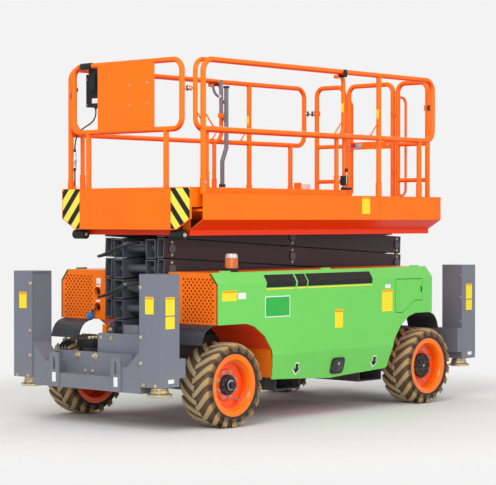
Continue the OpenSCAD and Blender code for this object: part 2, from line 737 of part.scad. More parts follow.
// Bow on the outside of each frame, beside the way in.
module grab_bar() {
  b = 60;
  x = gate_x - 120;
  z = [skirt_top + 20, rail_z - 125];
  zbar(x, frame_in, z[0] + b, z[1] - b, 12);
  bend_xz(x + b, frame_in, z[0] + b, b, 12, 180);
  bend_xz(x + b, frame_in, z[1] - b, b, 12, 90);
  for (h = z) xbar(x + b, gate_x, frame_in, h, 12);
}

// Pins on the left frame that carry the gate, set inside its plane.
module gate_pins() {
  for (z = gate_pin_z) {
    zbar(gate_pin_x, gate_pin_y, z, z + 70, 7);
    box(gate_x, gate_pin_x + 7, gate_pin_y, frame_in, z, z + 20);
  }
}

module gate() color(orange) {
  y = gate_half - 2;
  b = 80;
  ybar(gate_x, -y + b, y - b, rail_z, tube_r);
  bend_yz(gate_x, y - b, rail_z - b, b, tube_r, 0);
  bend_yz(gate_x, -y + b, rail_z - b, b, tube_r, 90);
  both_sides() zbar(gate_x, y, floor_z + 60, rail_z - b, tube_r);
  box(gate_x - 8, gate_x + 8, -y, y, mid_z - 50, mid_z + 20);
  box(gate_x - 8, gate_x + 8, -y, y, floor_z + 60, skirt_top);
  for (z = gate_pin_z) difference() {
    union() {
      zbar(gate_pin_x, gate_pin_y, z + 22, z + 62, 13);
      box(gate_x, gate_pin_x, y, y + 20, z + 22, z + 62);
    }
    zbar(gate_pin_x, gate_pin_y, z, z + 80, 7 + fit);
  }
}

// Extension deck

module extension_deck() color(orange) {
  box(ext_rear_x, plate_x - 15, -ext_y - 14, ext_y + 14, ext_floor - 15, ext_floor);
  yz(plate_x - 16, plate_x) polygon([[-plate_w / 2, plate_top], [-plate_w / 2, 1642],
    [-plate_w / 2 + 155, 1556], [plate_w / 2 - 155, 1556], [plate_w / 2, 1642], [plate_w / 2, plate_top]]);
  boxes(ext_rear_x, deck_front_x - 40, ext_y - 120, ext_y - 80, floor_z + 0.3, ext_floor - 14);
  boxes(ext_rear_x, plate_x - 15, ext_y + 8, ext_y + 14, ext_floor - 15, plate_top - 12);
  boxes(ext_rear_x, plate_x - 15, ext_y - 20, ext_y + 14, plate_top - 12, plate_top);
}

module extension_rail_side() {
  x0 = ext_rear_x + 36;
  x1 = plate_x - 83;
  b = 90;
  zm = mid_z - 5;
  for (z = [rail_z, zm]) xbar(x0 + b, x1 - b, ext_y, z, ext_tube_r);
  for (x = [x0, x1]) zbar(x, ext_y, zm + b, rail_z - b, ext_tube_r);
  bend_xz(x0 + b, ext_y, rail_z - b, b, ext_tube_r, 90);
  bend_xz(x0 + b, ext_y, zm + b, b, ext_tube_r, 180);
  bend_xz(x1 - b, ext_y, rail_z - b, b, ext_tube_r, 0);
  bend_xz(x1 - b, ext_y, zm + b, b, ext_tube_r, 270);
  for (x = [x0 + 93, x1 - 128]) zbar(x, ext_y, plate_top, zm, ext_tube_r);
}

module extension_rails() color(orange) {
  both_sides() extension_rail_side();
  // lock post of the left rail and the socket of the control cable
  zbar(ext_rear_x + 26, ext_y, plate_top, mid_z - 5, ext_tube_r - 3);
  xbar(ext_rear_x + 26, ext_rear_x + 126, ext_y, mid_z - 5, ext_tube_r - 4);
  zbar(cable_pts[13][0], cable_pts[13][1], plate_top, cable_pts[13][2], 12);
  xf = plate_x - 30;
  yf = 620;
  b = 90;
  z0 = mid_z + 3;
  both_sides() {
    zbar(xf, yf, z0 + b, rail_z - b, tube_r);
    bend_yz(xf, yf - b, rail_z - b, b, tube_r, 0);
    bend_yz(xf, yf - b, z0 + b, b, tube_r, 270);
    zbar(xf, 446, plate_top, z0, tube_r);
  }
  ybar(xf, -yf + b, yf - b, rail_z, tube_r);
  ybar(xf, -yf + b, yf - b, z0, tube_r);
  // link from the front loop to each side rail
  link_x = 53;
  link_y = ext_y - yf;
  both_sides() translate([xf, yf, rail_z - 230]) rotate([0, 0, atan2(link_y, -link_x)])
    box(0, sqrt(link_x * link_x + link_y * link_y), -9, 9, -11, 11);
}

module front_panel() color(orange)
  box(plate_x - 30 + tube_r, plate_x - 30 + tube_r + 5, -310, 340, mid_z, rail_z + 4);

module control_box() color(black) {
  box(plate_x - 260, plate_x - 90, -540, -330, rail_z - 330, rail_z - 60);
  box(plate_x - 92, plate_x - 30 - tube_r, -470, -400, rail_z - 200, rail_z + 12);
  zbar(cable_pts[0][0], cable_pts[0][1], cable_pts[0][2], rail_z - 329, 11);
}

module control_cable() color(black) sweep(cable_pts, cable_r, 8, [1, 0, 0]);

// A cranked bar with a side bar and a grip, clamped to the right rail's rear upright.
module push_handle() color(grey) {
  x0 = ext_rear_x + 36;
  y = -ext_y + 56;
  zbar(x0 + 45, y, 1945, 2165, 20);
  translate([x0 + 45, y, 2165]) sphere(r = 20.8);
  translate([x0 + 45, y, 2165]) rotate([0, -atan2(54, 125), 0])
    cylinder(r = 20, h = sqrt(54 * 54 + 125 * 125));
  translate([x0 - 9, y, 2290]) sphere(r = 20.8);
  zbar(x0 - 9, y, 2290, 2845, 20);
  // side bar and grip
  translate([x0 - 9, y, 2510]) rotate([0, atan2(69, 110), 0])
    cylinder(r = 14, h = sqrt(69 * 69 + 110 * 110));
  translate([x0 + 60, y, 2620]) sphere(r = 14.6);
  zbar(x0 + 60, y, 2620, 2900, 14);
  xbar(x0 + 60, x0 + 76, y, 2750, 12);
  bend_xz(x0 + 75, y, 2840, 90, 12, 270);
  // clamps round the upright
  for (z = [2440, 2690]) difference() {
    box(x0 - 26, x0 + 26, -ext_y, y, z, z + 30);
    zbar(x0, -ext_y, z - 1, z + 31, ext_tube_r + fit);
    box(x0 - 27, x0 + 27, -ext_y - 1, -ext_y + 1, z - 1, z + 31);
  }
}

module end_rollers() color(black) both_sides() {
  ybar(plate_x - 50, plate_w / 2 - 240, plate_w / 2 - 110, 1515, 38);
  for (y = [plate_w / 2 - 200, plate_w / 2 - 160]) box(plate_x - 72, plate_x - 16, y, y + 10, 1515, 1590);
}

chassis_frame();
side_trays();
front_grilles();
battery_packs();
mud_flaps();
axles();
front_beam();
rear_beam();
outrigger_boxes();
ladder();
beacon_base();
beacon_lens();
leg_fl();
leg_fr();
leg_rl();
leg_rr();
knuckle_left();
knuckle_right();
tyre_fl();
rim_fl();
hub_fl();
tyre_fr();
rim_fr();
hub_fr();
tyre_rl();
rim_rl();
hub_rl();
tyre_rr();
rim_rr();
hub_rr();
cover_left();
cover_right();
access_door();
outer_1();
inner_1();
outer_2();
inner_2();
outer_3();
inner_3();
outer_4();
inner_4();
outer_5();
inner_5();
lift_barrel();
lift_rod();
platform_deck();
side_rails();
rear_rails();
gate();
extension_deck();
extension_rails();
front_panel();
control_box();
push_handle();
end_rollers();
hose_upper();
hose_lower();
control_cable();
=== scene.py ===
"""Looks of a self-propelled scissor lift with levelling outriggers and a roll-out deck.

Lengths are in metres, in the frame's axes: X forward, Y to the left, Z up, origin on the floor.
"""

import math

import bmesh
import bpy
from mathutils import Matrix, Vector


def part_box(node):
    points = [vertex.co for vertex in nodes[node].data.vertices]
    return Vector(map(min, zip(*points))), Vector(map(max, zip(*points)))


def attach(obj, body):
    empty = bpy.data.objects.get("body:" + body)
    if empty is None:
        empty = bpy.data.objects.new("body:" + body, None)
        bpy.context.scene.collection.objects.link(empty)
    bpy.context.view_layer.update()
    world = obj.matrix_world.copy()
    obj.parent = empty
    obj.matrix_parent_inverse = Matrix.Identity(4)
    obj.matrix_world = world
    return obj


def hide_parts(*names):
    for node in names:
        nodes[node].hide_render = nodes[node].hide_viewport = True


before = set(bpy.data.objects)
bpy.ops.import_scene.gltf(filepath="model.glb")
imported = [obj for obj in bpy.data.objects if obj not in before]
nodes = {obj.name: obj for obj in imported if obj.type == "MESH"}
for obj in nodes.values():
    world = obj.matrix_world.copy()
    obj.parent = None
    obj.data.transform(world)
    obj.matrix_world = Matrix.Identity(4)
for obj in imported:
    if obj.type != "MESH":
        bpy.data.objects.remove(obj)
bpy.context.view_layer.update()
scene = bpy.context.scene

# Planes and edges of the solids that the fittings sit on
COVER_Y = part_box("cover_left")[1].y
COVER_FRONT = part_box("front_grilles")[1].x
BEVEL_Z = 1.130
BEVEL_RUN = Vector((0, -0.072, 0.089))
SLOPE_TOP = 0.542
SLOPE_RUN = Vector((0, 0.060, 0.242))
DECK_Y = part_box("platform_deck")[1].y
SKIRT_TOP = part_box("platform_deck")[1].z
PLATE_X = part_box("extension_deck")[1].x
PLATE_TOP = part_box("extension_deck")[1].z
LEG_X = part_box("outrigger_boxes")[1].x
LEG_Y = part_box("outrigger_boxes")[1].y
RAIL_Y, RAIL_Z, MID_Z, RAIL_R = 0.761, 2.895, 2.347, 0.0225
EXT_Y, EXT_R = 0.7135, 0.019
PIN_FRONT, PIN_REAR, ROW_Z, ROW_STEP = 1.438, -1.532, 0.743, 0.1655
STACK_Y = 0.339
# the rims' painted shade fades out across RIM_DEPTH, and the decks' painted shade lies below LIP_Z
RIM_DEPTH = (0.845, 0.905)
LIP_Z = (1.550, 1.561)
TAPE_IN, TAPE_OUT = 0.525, 0.731
SMOOTH = math.radians(35)
SHARP = 0.6
AHEAD, ASTERN, UPWARD = (1, 0, 0), (-1, 0, 0), (0, 0, 1)
ENAMEL_SHEEN = 0.22


# Shading

def linear(screen):
    """A screen colour such as "FF7814" as the linear colour that shaders take."""
    channels = [int(screen[i:i + 2], 16) / 255 for i in (0, 2, 4)]
    return (*(c / 12.92 if c <= 0.04045 else ((c + 0.055) / 1.055) ** 2.4 for c in channels), 1.0)


class Wire:
    """A shader output; arithmetic on it adds Math nodes."""

    def __init__(self, graph, socket):
        self.graph = graph
        self.socket = socket

    def __add__(self, other):
        return self.graph.math("ADD", self, other)

    def __sub__(self, other):
        return self.graph.math("SUBTRACT", self, other)

    def __rsub__(self, other):
        return self.graph.math("SUBTRACT", other, self)

    def __mul__(self, other):
        return self.graph.math("MULTIPLY", self, other)

    def __truediv__(self, other):
        return self.graph.math("DIVIDE", self, other)

    def __gt__(self, other):
        return self.graph.math("GREATER_THAN", self, other)

    def __lt__(self, other):
        return self.graph.math("LESS_THAN", self, other)

    def __mod__(self, other):
        return self.graph.math("FLOORED_MODULO", self, other)

    def __abs__(self):
        return self.graph.math("ABSOLUTE", self)

    __radd__ = __add__
    __rmul__ = __mul__


class Graph:
    """A node tree, and the one method that adds nodes to it."""

    def __init__(self, tree):
        self.tree = tree

    def plug(self, socket, value):
        if isinstance(value, Wire):
            self.tree.links.new(value.socket, socket)
        else:
            socket.default_value = value

    def add(self, kind, settings=None, sockets=None, output=0):
        """Any node: its settings first, then the values or links of its sockets."""
        node = self.tree.nodes.new(kind)
        for name, value in (settings or {}).items():
            setattr(node, name, value)
        for name, value in (sockets or {}).items():
            self.plug(node.inputs[name], value)
        return Wire(self, node.outputs[output])

    def math(self, operation, *values):
        return self.add("ShaderNodeMath", {"operation": operation}, dict(enumerate(values)))


class Finish(Graph):
    """One material, built round its Principled shader."""

    def __init__(self, name, colour, roughness=0.5, metallic=0.0, coat=0.0):
        self.material = bpy.data.materials.new(name)
        self.material.use_nodes = True
        super().__init__(self.material.node_tree)
        self.surface = self.tree.nodes["Principled BSDF"]
        self.colour = linear(colour)
        self.paint("Base Color", self.colour)
        self.paint("Roughness", roughness)
        self.paint("Metallic", metallic)
        self.paint("Coat Weight", coat)

    def paint(self, name, value):
        self.plug(self.surface.inputs[name], value)

    def place(self, kind="Object"):
        return self.add("ShaderNodeTexCoord", output=kind)

    def axis(self, name, kind="Object"):
        return self.add("ShaderNodeSeparateXYZ", sockets={"Vector": self.place(kind)}, output=name)

    def attribute(self, name):
        return self.add("ShaderNodeAttribute", {"attribute_name": name}, output="Fac")

    def noise(self, scale, detail=3.0, rough=0.55):
        sockets = {"Vector": self.place(), "Scale": scale, "Detail": detail, "Roughness": rough}
        return self.add("ShaderNodeTexNoise", sockets=sockets)

    def ease(self, value, low, high):
        """0 below low, 1 above high, smooth between."""
        sockets = {"Value": value, "From Min": low, "From Max": high}
        return self.add("ShaderNodeMapRange", {"interpolation_type": "SMOOTHSTEP"}, sockets)

    def blend(self, share, painted_underside_shade, over):
        """The second colour over the first; inputs 6 and 7 of the node are its colours."""
        settings = {"data_type": "RGBA"}
        return self.add("ShaderNodeMix", settings, {0: share, 6: painted_underside_shade, 7: over}, output=2)

    def bump(self, height, distance, strength=1.0):
        sockets = {"Height": height, "Distance": distance, "Strength": strength}
        self.paint("Normal", self.add("ShaderNodeBump", sockets=sockets))


def coat_of_paint(name, colour, shade, painted_underside_shade=None, flank=None, painted_rim_shade=None, dust=0.3, roughness=0.36,
                  coat=0.1):
    """Sprayed enamel: slight cloudiness, orange peel, and road dust towards the floor.

    Faces that look down, the stack's outer faces and the wheels' insides take the given colours of painted
    shade.
    """
    paint = Finish(name, colour, coat=coat)
    paint.paint("Specular IOR Level", ENAMEL_SHEEN)
    cloud = paint.noise(1.7, 4.0)
    body = paint.blend(paint.ease(cloud, 0.35, 0.75) * 0.5, paint.colour, linear(shade))
    # painted shade: faces that look down take the shade colour given for the underside
    if painted_underside_shade:
        downward = paint.ease(0 - paint.axis("Z", "Normal"), 0.25, 0.7)
        body = paint.blend(downward, body, linear(painted_underside_shade))
    # painted shade: sideways-facing faces on the scissor stack's outer plane take a darker colour
    if flank:
        sideways = paint.ease(abs(paint.axis("Y", "Normal")), 0.7, 0.95)
        from_middle = abs(paint.axis("Y"))
        outer = (from_middle > STACK_Y - 0.002) * (1 - (from_middle > STACK_Y + 0.001))
        body = paint.blend(sideways * outer, body, linear(flank))
    # painted shade: the wheels' insides, inward of the rim's face, take the given shade colour
    if painted_rim_shade:
        face = paint.ease(abs(paint.axis("Y")), *RIM_DEPTH)
        body = paint.blend(face, linear(painted_rim_shade), body)
    speck = paint.noise(38.0, 6.0, 0.7)
    dirt = (1 - paint.ease(paint.axis("Z"), 0.15, 0.75)) * paint.ease(speck, 0.42, 0.72) * dust
    paint.paint("Base Color", paint.blend(dirt, body, linear("A89A86")))
    paint.paint("Roughness", roughness + cloud * 0.1 + dirt * 0.5)
    paint.bump(paint.noise(420.0, 2.0), 0.0004, 0.3)
    return paint.material


def film(name, colour, roughness=0.38):
    """Printed vinyl: flat colour with a faint mottle and a few scuffs."""
    vinyl = Finish(name, colour)
    vinyl.paint("Specular IOR Level", ENAMEL_SHEEN)
    mottle = vinyl.noise(60.0, 4.0)
    duller = tuple(c * 0.86 for c in vinyl.colour[:3]) + (1.0,)
    vinyl.paint("Base Color", vinyl.blend(vinyl.ease(mottle, 0.4, 0.8) * 0.5, vinyl.colour, duller))
    vinyl.paint("Roughness", roughness + mottle * 0.15)
    return vinyl.material


def hazard_tape():
    """Yellow film with black bars that fall away from the middle of the machine."""
    tape = Finish("hazard_film", "FFEE58", 0.4)
    tape.paint("Specular IOR Level", ENAMEL_SHEEN)
    pitch, slant, black = 0.162, 1.15, 0.45
    middle_bar = 1.780 + slant * TAPE_IN
    bars = (middle_bar - tape.axis("Z") - abs(tape.axis("Y")) * slant) / pitch % 1 < black
    mottle = tape.noise(60.0, 4.0)
    worn = tape.blend(mottle * 0.25, tape.colour, linear("F2D83C"))
    tape.paint("Base Color", tape.blend(bars, worn, linear("1E1D1C")))
    tape.paint("Roughness", 0.34 + mottle * 0.15)
    return tape.material


def metal(name, colour, shade, roughness):
    """Plated or polished steel, blotched by the bath."""
    plate = Finish(name, colour, metallic=0.9)
    blotch = plate.noise(30.0, 4.0)
    plate.paint("Base Color", plate.blend(plate.ease(blotch, 0.3, 0.7), plate.colour, linear(shade)))
    plate.paint("Roughness", roughness + blotch * 0.2)
    plate.bump(plate.noise(600.0, 2.0), 0.0002, 0.25)
    return plate.material


def tyre_rubber():
    """Dry rubber: dark beside the rim, brown with earth between the lugs, rubbed tan on top of them."""
    rubber = Finish("tread_rubber", "2B2826")
    dust = rubber.attribute("dust")
    clod = rubber.noise(26.0, 6.0, 0.7)
    carcass = rubber.blend(rubber.ease(dust, 0.05, 0.28), rubber.colour, linear("6A5039"))
    worn = rubber.ease(dust + (clod - 0.5) * 0.7, 0.5, 1.05)
    lug_end = rubber.ease(rubber.attribute("lug_end"), 0.2, 0.8)
    lugs = rubber.blend(lug_end, linear("B09C78"), linear("B8975A"))
    rubber.paint("Base Color", rubber.blend(worn, carcass, lugs))
    rubber.paint("Roughness", 0.62 + clod * 0.25)
    rubber.bump(clod, 0.0025, 0.5)
    return rubber.material


def deck_plate(name, colour, shade):
    """Enamelled tread plate: raised bars in turn along and across, on the floors alone."""
    deck = Finish(name, colour, coat=0.05)
    deck.paint("Specular IOR Level", ENAMEL_SHEEN)
    cell = 0.05
    along, across = deck.axis("X") / cell, deck.axis("Y") / cell
    odd = ((along - along % 1) + (across - across % 1)) % 2
    u, v = abs(along % 1 - 0.5), abs(across % 1 - 0.5)
    within_width = 1 - deck.ease(u * (1 - odd) + v * odd, 0.07, 0.16)
    within_length = 1 - deck.ease(u * odd + v * (1 - odd), 0.3, 0.42)
    bar = within_width * within_length
    floor = deck.ease(deck.axis("Z", "Normal"), 0.9, 0.99) * (1 - deck.ease(deck.axis("Z"), 1.76, 1.78))
    cloud = deck.noise(1.7, 4.0)
    downward = deck.ease(0 - deck.axis("Z", "Normal"), 0.25, 0.7)
    body = deck.blend(deck.ease(cloud, 0.35, 0.75) * 0.5, deck.colour, linear(shade))
    # painted shade: faces that look down, and every face below the deck's lip, take the orange's underside
    # shade
    painted_underside_shade = 1 - (1 - downward) * deck.ease(deck.axis("Z"), *LIP_Z)
    body = deck.blend(painted_underside_shade, body, linear(ORANGE_UNDERSIDE_SHADE))
    deck.paint("Base Color", deck.blend(bar * floor * 0.35, body, linear("D9B08C")))
    deck.paint("Roughness", 0.36 + cloud * 0.1 + floor * 0.2)
    deck.bump(bar * floor, 0.002)
    return deck.material


def hose_rubber():
    """Scuffed black hose cover."""
    hose = Finish("hose_rubber", "222124")
    mottle = hose.noise(90.0, 4.0)
    scuffed = hose.ease(mottle, 0.45, 0.8) * 0.6
    hose.paint("Base Color", hose.blend(scuffed, hose.colour, linear("4A4846")))
    hose.paint("Roughness", 0.42 + mottle * 0.3)
    hose.bump(mottle, 0.0006, 0.5)
    return hose.material


def moulded_lens(name, colour, shade):
    """Glossy moulded plastic that lets some light through."""
    shell = Finish(name, colour, 0.12, coat=0.6)
    ripple = shell.noise(140.0, 1.0)
    shell.paint("Base Color", shell.blend(shell.ease(ripple, 0.3, 0.7), shell.colour, linear(shade)))
    shell.paint("Transmission Weight", 0.25)
    shell.bump(ripple, 0.0008, 0.4)
    return shell.material


# the third orange is painted shade, for faces that look down and the decks' lower faces
ORANGE, ORANGE_SHADE, ORANGE_UNDERSIDE_SHADE = "FF7800", "FC7000", "F23A04"
orange_paint = coat_of_paint("orange_enamel", ORANGE, ORANGE_SHADE, painted_underside_shade=ORANGE_UNDERSIDE_SHADE)
deck_paint = deck_plate("deck_enamel", ORANGE, ORANGE_SHADE)
# FA5200 is painted shade inside the wheels' rims
rim_paint = coat_of_paint("rim_enamel", "FF7A04", "FF7200", painted_rim_shade="FA5200", dust=0.04, roughness=0.22,
                          coat=0.4)
green_paint = coat_of_paint("green_enamel", "74D460", "6ECE5A", dust=0.12)
grey_paint = coat_of_paint("grey_enamel", "7A7E89", "727681")
dark_paint = coat_of_paint("dark_enamel", "3A3C43", "303238")
# 38292F is painted shade on the scissor stack's outer faces
arm_paint = coat_of_paint("arm_enamel", "5A5C64", "52545B", flank="38292F")
black_plastic = coat_of_paint("black_moulding", "202023", "29292C", roughness=0.5, coat=0.0)
rubber = tyre_rubber()
hose_cover = hose_rubber()
zinc = metal("yellow_zinc", "E6D8B8", "C9B286", 0.36)
steel = metal("bright_steel", "C9CCD2", "A9ADB5", 0.25)
chrome = metal("chrome_rod", "D5D8DC", "C4C7CC", 0.08)
yellow_film = film("yellow_film", "FFE431")
orange_film = film("orange_film", "FF9A1E")
white_film = film("white_film", "F2F2F0")
black_film = film("black_film", "1C1B1A")
green_film = film("green_film", "35B44A")
seam_line = film("seam_line", "C85A10")
hazard_film = hazard_tape()
red_plastic = film("red_plastic", "D8201C", 0.3)
blue_plastic = film("blue_plastic", "3F7FC0", 0.35)
amber = moulded_lens("amber_lens", "F48A14", "E8660A")
clear = moulded_lens("clear_lens", "EDEBE6", "DAD6D0")

FINISHES = {
    "side_trays": orange_paint, "platform_deck": deck_paint, "extension_deck": deck_paint,
    "chassis_frame": dark_paint, "battery_packs": dark_paint, "mud_flaps": dark_paint, "axles": dark_paint,
    "front_beam": grey_paint, "rear_beam": grey_paint, "outrigger_boxes": grey_paint,
    "beacon_base": black_plastic, "beacon_lens": amber, "control_box": black_plastic,
    "lift_barrel": black_plastic, "lift_rod": chrome, "push_handle": grey_paint,
    "end_rollers": black_plastic, "cover_left": green_paint, "cover_right": green_paint,
    "access_door": green_paint,
}
PREFIXES = {"leg_": zinc, "knuckle_": dark_paint, "tyre_": rubber, "rim_": rim_paint,
            "hub_": black_plastic, "outer_": arm_paint, "inner_": arm_paint}

for name, node in nodes.items():
    prefix = next((p for p in PREFIXES if name.startswith(p)), None)
    node.data.materials.clear()
    node.data.materials.append(FINISHES.get(name) or PREFIXES.get(prefix) or orange_paint)


# Stage, light and camera

PHOTO_W, PHOTO_H = 496, 485
FOCAL_PX = 1787.1
HORIZON_V = 220.31
BACKGROUND = "F3F3F3"
FLOOR_R = 9.0
FLOOR_FADE = (2.6, 4.6)
STUDIO_LIGHT = 0.62
CAMERA_PLACE = (11.686, 10.349, 1.63)
CAMERA_HEADING = math.radians(131.885)


def pale_floor():
    """A disc that fades into the background."""
    shape = bmesh.new()
    bmesh.ops.create_circle(shape, cap_ends=True, segments=96, radius=FLOOR_R)
    mesh = bpy.data.meshes.new("floor")
    shape.to_mesh(mesh)
    shape.free()
    floor = bpy.data.objects.new("floor", mesh)
    scene.collection.objects.link(floor)
    pale = Finish("pale_floor", "EAEAEA", 0.9)
    x, y = pale.axis("X"), pale.axis("Y")
    away = pale.math("SQRT", x * x + y * y)
    pale.paint("Alpha", 1 - pale.ease(away, *FLOOR_FADE))
    mesh.materials.append(pale.material)


def backdrop():
    """Even white light, and the background's own grey where the camera, gloss or glass sees it."""
    world = bpy.data.worlds.new("studio")
    scene.world = world
    world.use_nodes = True
    studio = Graph(world.node_tree)
    light = studio.tree.nodes["Background"]
    light.inputs["Color"].default_value = (1, 1, 1, 1)
    light.inputs["Strength"].default_value = STUDIO_LIGHT
    wall = studio.add("ShaderNodeBackground", sockets={"Color": linear(BACKGROUND)})
    seen = studio.add("ShaderNodeLightPath", output="Is Camera Ray")
    for kind in ("Is Glossy Ray", "Is Transmission Ray"):
        seen = studio.math("MAXIMUM", seen, studio.add("ShaderNodeLightPath", output=kind))
    sky = studio.add("ShaderNodeMixShader", sockets={0: seen, 1: Wire(studio, light.outputs[0]), 2: wall})
    studio.plug(studio.tree.nodes["World Output"].inputs["Surface"], sky)


def softbox(name, place, aim, size, power):
    lamp = bpy.data.lights.new(name, "AREA")
    lamp.shape = "RECTANGLE"
    lamp.size, lamp.size_y = size
    lamp.energy = power
    box = bpy.data.objects.new(name, lamp)
    box.location = place
    box.rotation_euler = (Vector(aim) - Vector(place)).to_track_quat("-Z", "Y").to_euler()
    scene.collection.objects.link(box)


def camera():
    optics = bpy.data.cameras.new("camera")
    optics.sensor_width = 36.0
    optics.lens = FOCAL_PX / PHOTO_W * optics.sensor_width
    optics.clip_end = 200.0
    view = bpy.data.objects.new("camera", optics)
    view.location = CAMERA_PLACE
    pitch = math.atan((PHOTO_H / 2 - HORIZON_V) / FOCAL_PX)
    view.rotation_euler = (math.pi / 2 - pitch, 0, CAMERA_HEADING)
    scene.collection.objects.link(view)
    scene.camera = view


pale_floor()
backdrop()
softbox("key", (9, 4, 8), (0, 0, 1.2), (6, 6), 560)
softbox("fill", (1, 11, 5), (0, 0, 1.2), (7, 5), 290)
softbox("low", (8.5, 8.0, 0.9), (0, 0, 0.5), (4, 1.6), 120)
softbox("back", (-8, -6, 7), (0, 0, 1.5), (6, 6), 260)
camera()
scene.view_settings.view_transform = "Standard"


# Hoses and cable

def bent_line(name, points, radius):
    """A round line that runs smoothly through the points: the curve and its spline."""
    curve = bpy.data.curves.new(name, "CURVE")
    curve.dimensions = "3D"
    curve.bevel_depth = radius
    curve.use_fill_caps = True
    line = curve.splines.new("BEZIER")
    line.bezier_points.add(len(points) - 1)
    for knot, point in zip(line.bezier_points, points):
        knot.co = point
        knot.handle_left_type = knot.handle_right_type = "AUTO"
    return curve, line


def hose(name, node, body, points, diameter):
    """A curve through the route's points, standing for the plain tube: the piece and its length."""
    curve, line = bent_line(name, points, diameter / 2)
    curve.bevel_resolution = 4
    line.resolution_u = 6
    curve.materials.append(hose_cover)
    piece = bpy.data.objects.new(name, curve)
    scene.collection.objects.link(piece)
    bpy.context.view_layer.update()
    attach(piece, body)
    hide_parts(node)
    return piece, line.calc_length()


HOSE_ROUTE = [(1.550, -0.060, 1.440), (1.550, -0.090, 1.440), (1.553, -0.132, 1.424), (1.558, -0.177, 1.400),
              (1.570, -0.222, 1.375), (1.602, -0.252, 1.352), (1.645, -0.262, 1.340), (1.690, -0.246, 1.338),
              (1.720, -0.206, 1.342), (1.728, -0.158, 1.352), (1.726, -0.090, 1.375), (1.715, -0.020, 1.405),
              (1.687, 0.034, 1.428), (1.640, 0.068, 1.442), (1.585, 0.080, 1.448), (1.540, 0.080, 1.448),
              (1.500, 0.080, 1.448)]
CABLE_ROUTE = [(1.480, -0.500, 2.553), (1.480, -0.500, 2.515), (1.483, -0.512, 2.475), (1.492, -0.545, 2.438),
               (1.506, -0.592, 2.410), (1.518, -0.638, 2.380), (1.526, -0.670, 2.345), (1.530, -0.690, 2.300),
               (1.530, -0.700, 2.250), (1.530, -0.702, 2.200), (1.530, -0.702, 2.120), (1.530, -0.702, 2.040),
               (1.530, -0.702, 1.970), (1.530, -0.702, 1.915)]
HOSE_D, CABLE_D = 0.022, 0.012

for name, body, levels_down in (("hose_upper", "inner_arms_5", 0), ("hose_lower", "inner_arms_3", 2)):
    route = [(x, y, z - levels_down * ROW_STEP) for x, y, z in HOSE_ROUTE]
    piece, length = hose(name + "_line", name, body, route, HOSE_D)
cable, cable_length = hose("control_cable_line", "control_cable", "extension", CABLE_ROUTE, CABLE_D)


# Shapes of the fittings

def plane(origin, right, up):
    """The matrix that puts an outline's two axes, and its normal, into the frame."""
    right, up = Vector(right).normalized(), Vector(up).normalized()
    turn = Matrix((right, up, right.cross(up))).transposed().to_4x4()
    return Matrix.Translation(Vector(origin)) @ turn


def turned_to(axis):
    """The turn that points a shape's own Z along the axis."""
    return Vector(axis).to_track_quat("Z", "Y").to_matrix().to_4x4()


def rounded(u0, u1, v0, v1, radius=0.006, steps=4):
    """A rectangle's outline with round corners."""
    corners = ((u1, v1, 0), (u0, v1, 1), (u0, v0, 2), (u1, v0, 3))
    outline = []
    for u, v, quarter in corners:
        cu, cv = (u - radius if u == u1 else u + radius), (v - radius if v == v1 else v + radius)
        for i in range(steps + 1):
            a = math.pi / 2 * (quarter + i / steps)
            outline.append((cu + radius * math.cos(a), cv + radius * math.sin(a)))
    return outline


def sharp_edges(part):
    return [e for e in part.edges if e.is_manifold and e.calc_face_angle() > SHARP]


def round_edges(part, edges, offset):
    if edges and offset > 0:
        bmesh.ops.bevel(part, geom=edges, offset=offset, offset_type="OFFSET", affect="EDGES", segments=2,
                        profile=0.5, material=-1, clamp_overlap=True)


def settle(name, shape, finish, body):
    """Makes a finished shape a piece that rides on a body."""
    mesh = bpy.data.meshes.new(name)
    shape.to_mesh(mesh)
    shape.free()
    mesh.shade_smooth()
    mesh.set_sharp_from_angle(angle=SMOOTH)
    mesh.materials.append(finish)
    piece = bpy.data.objects.new(name, mesh)
    scene.collection.objects.link(piece)
    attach(piece, body)
    return piece


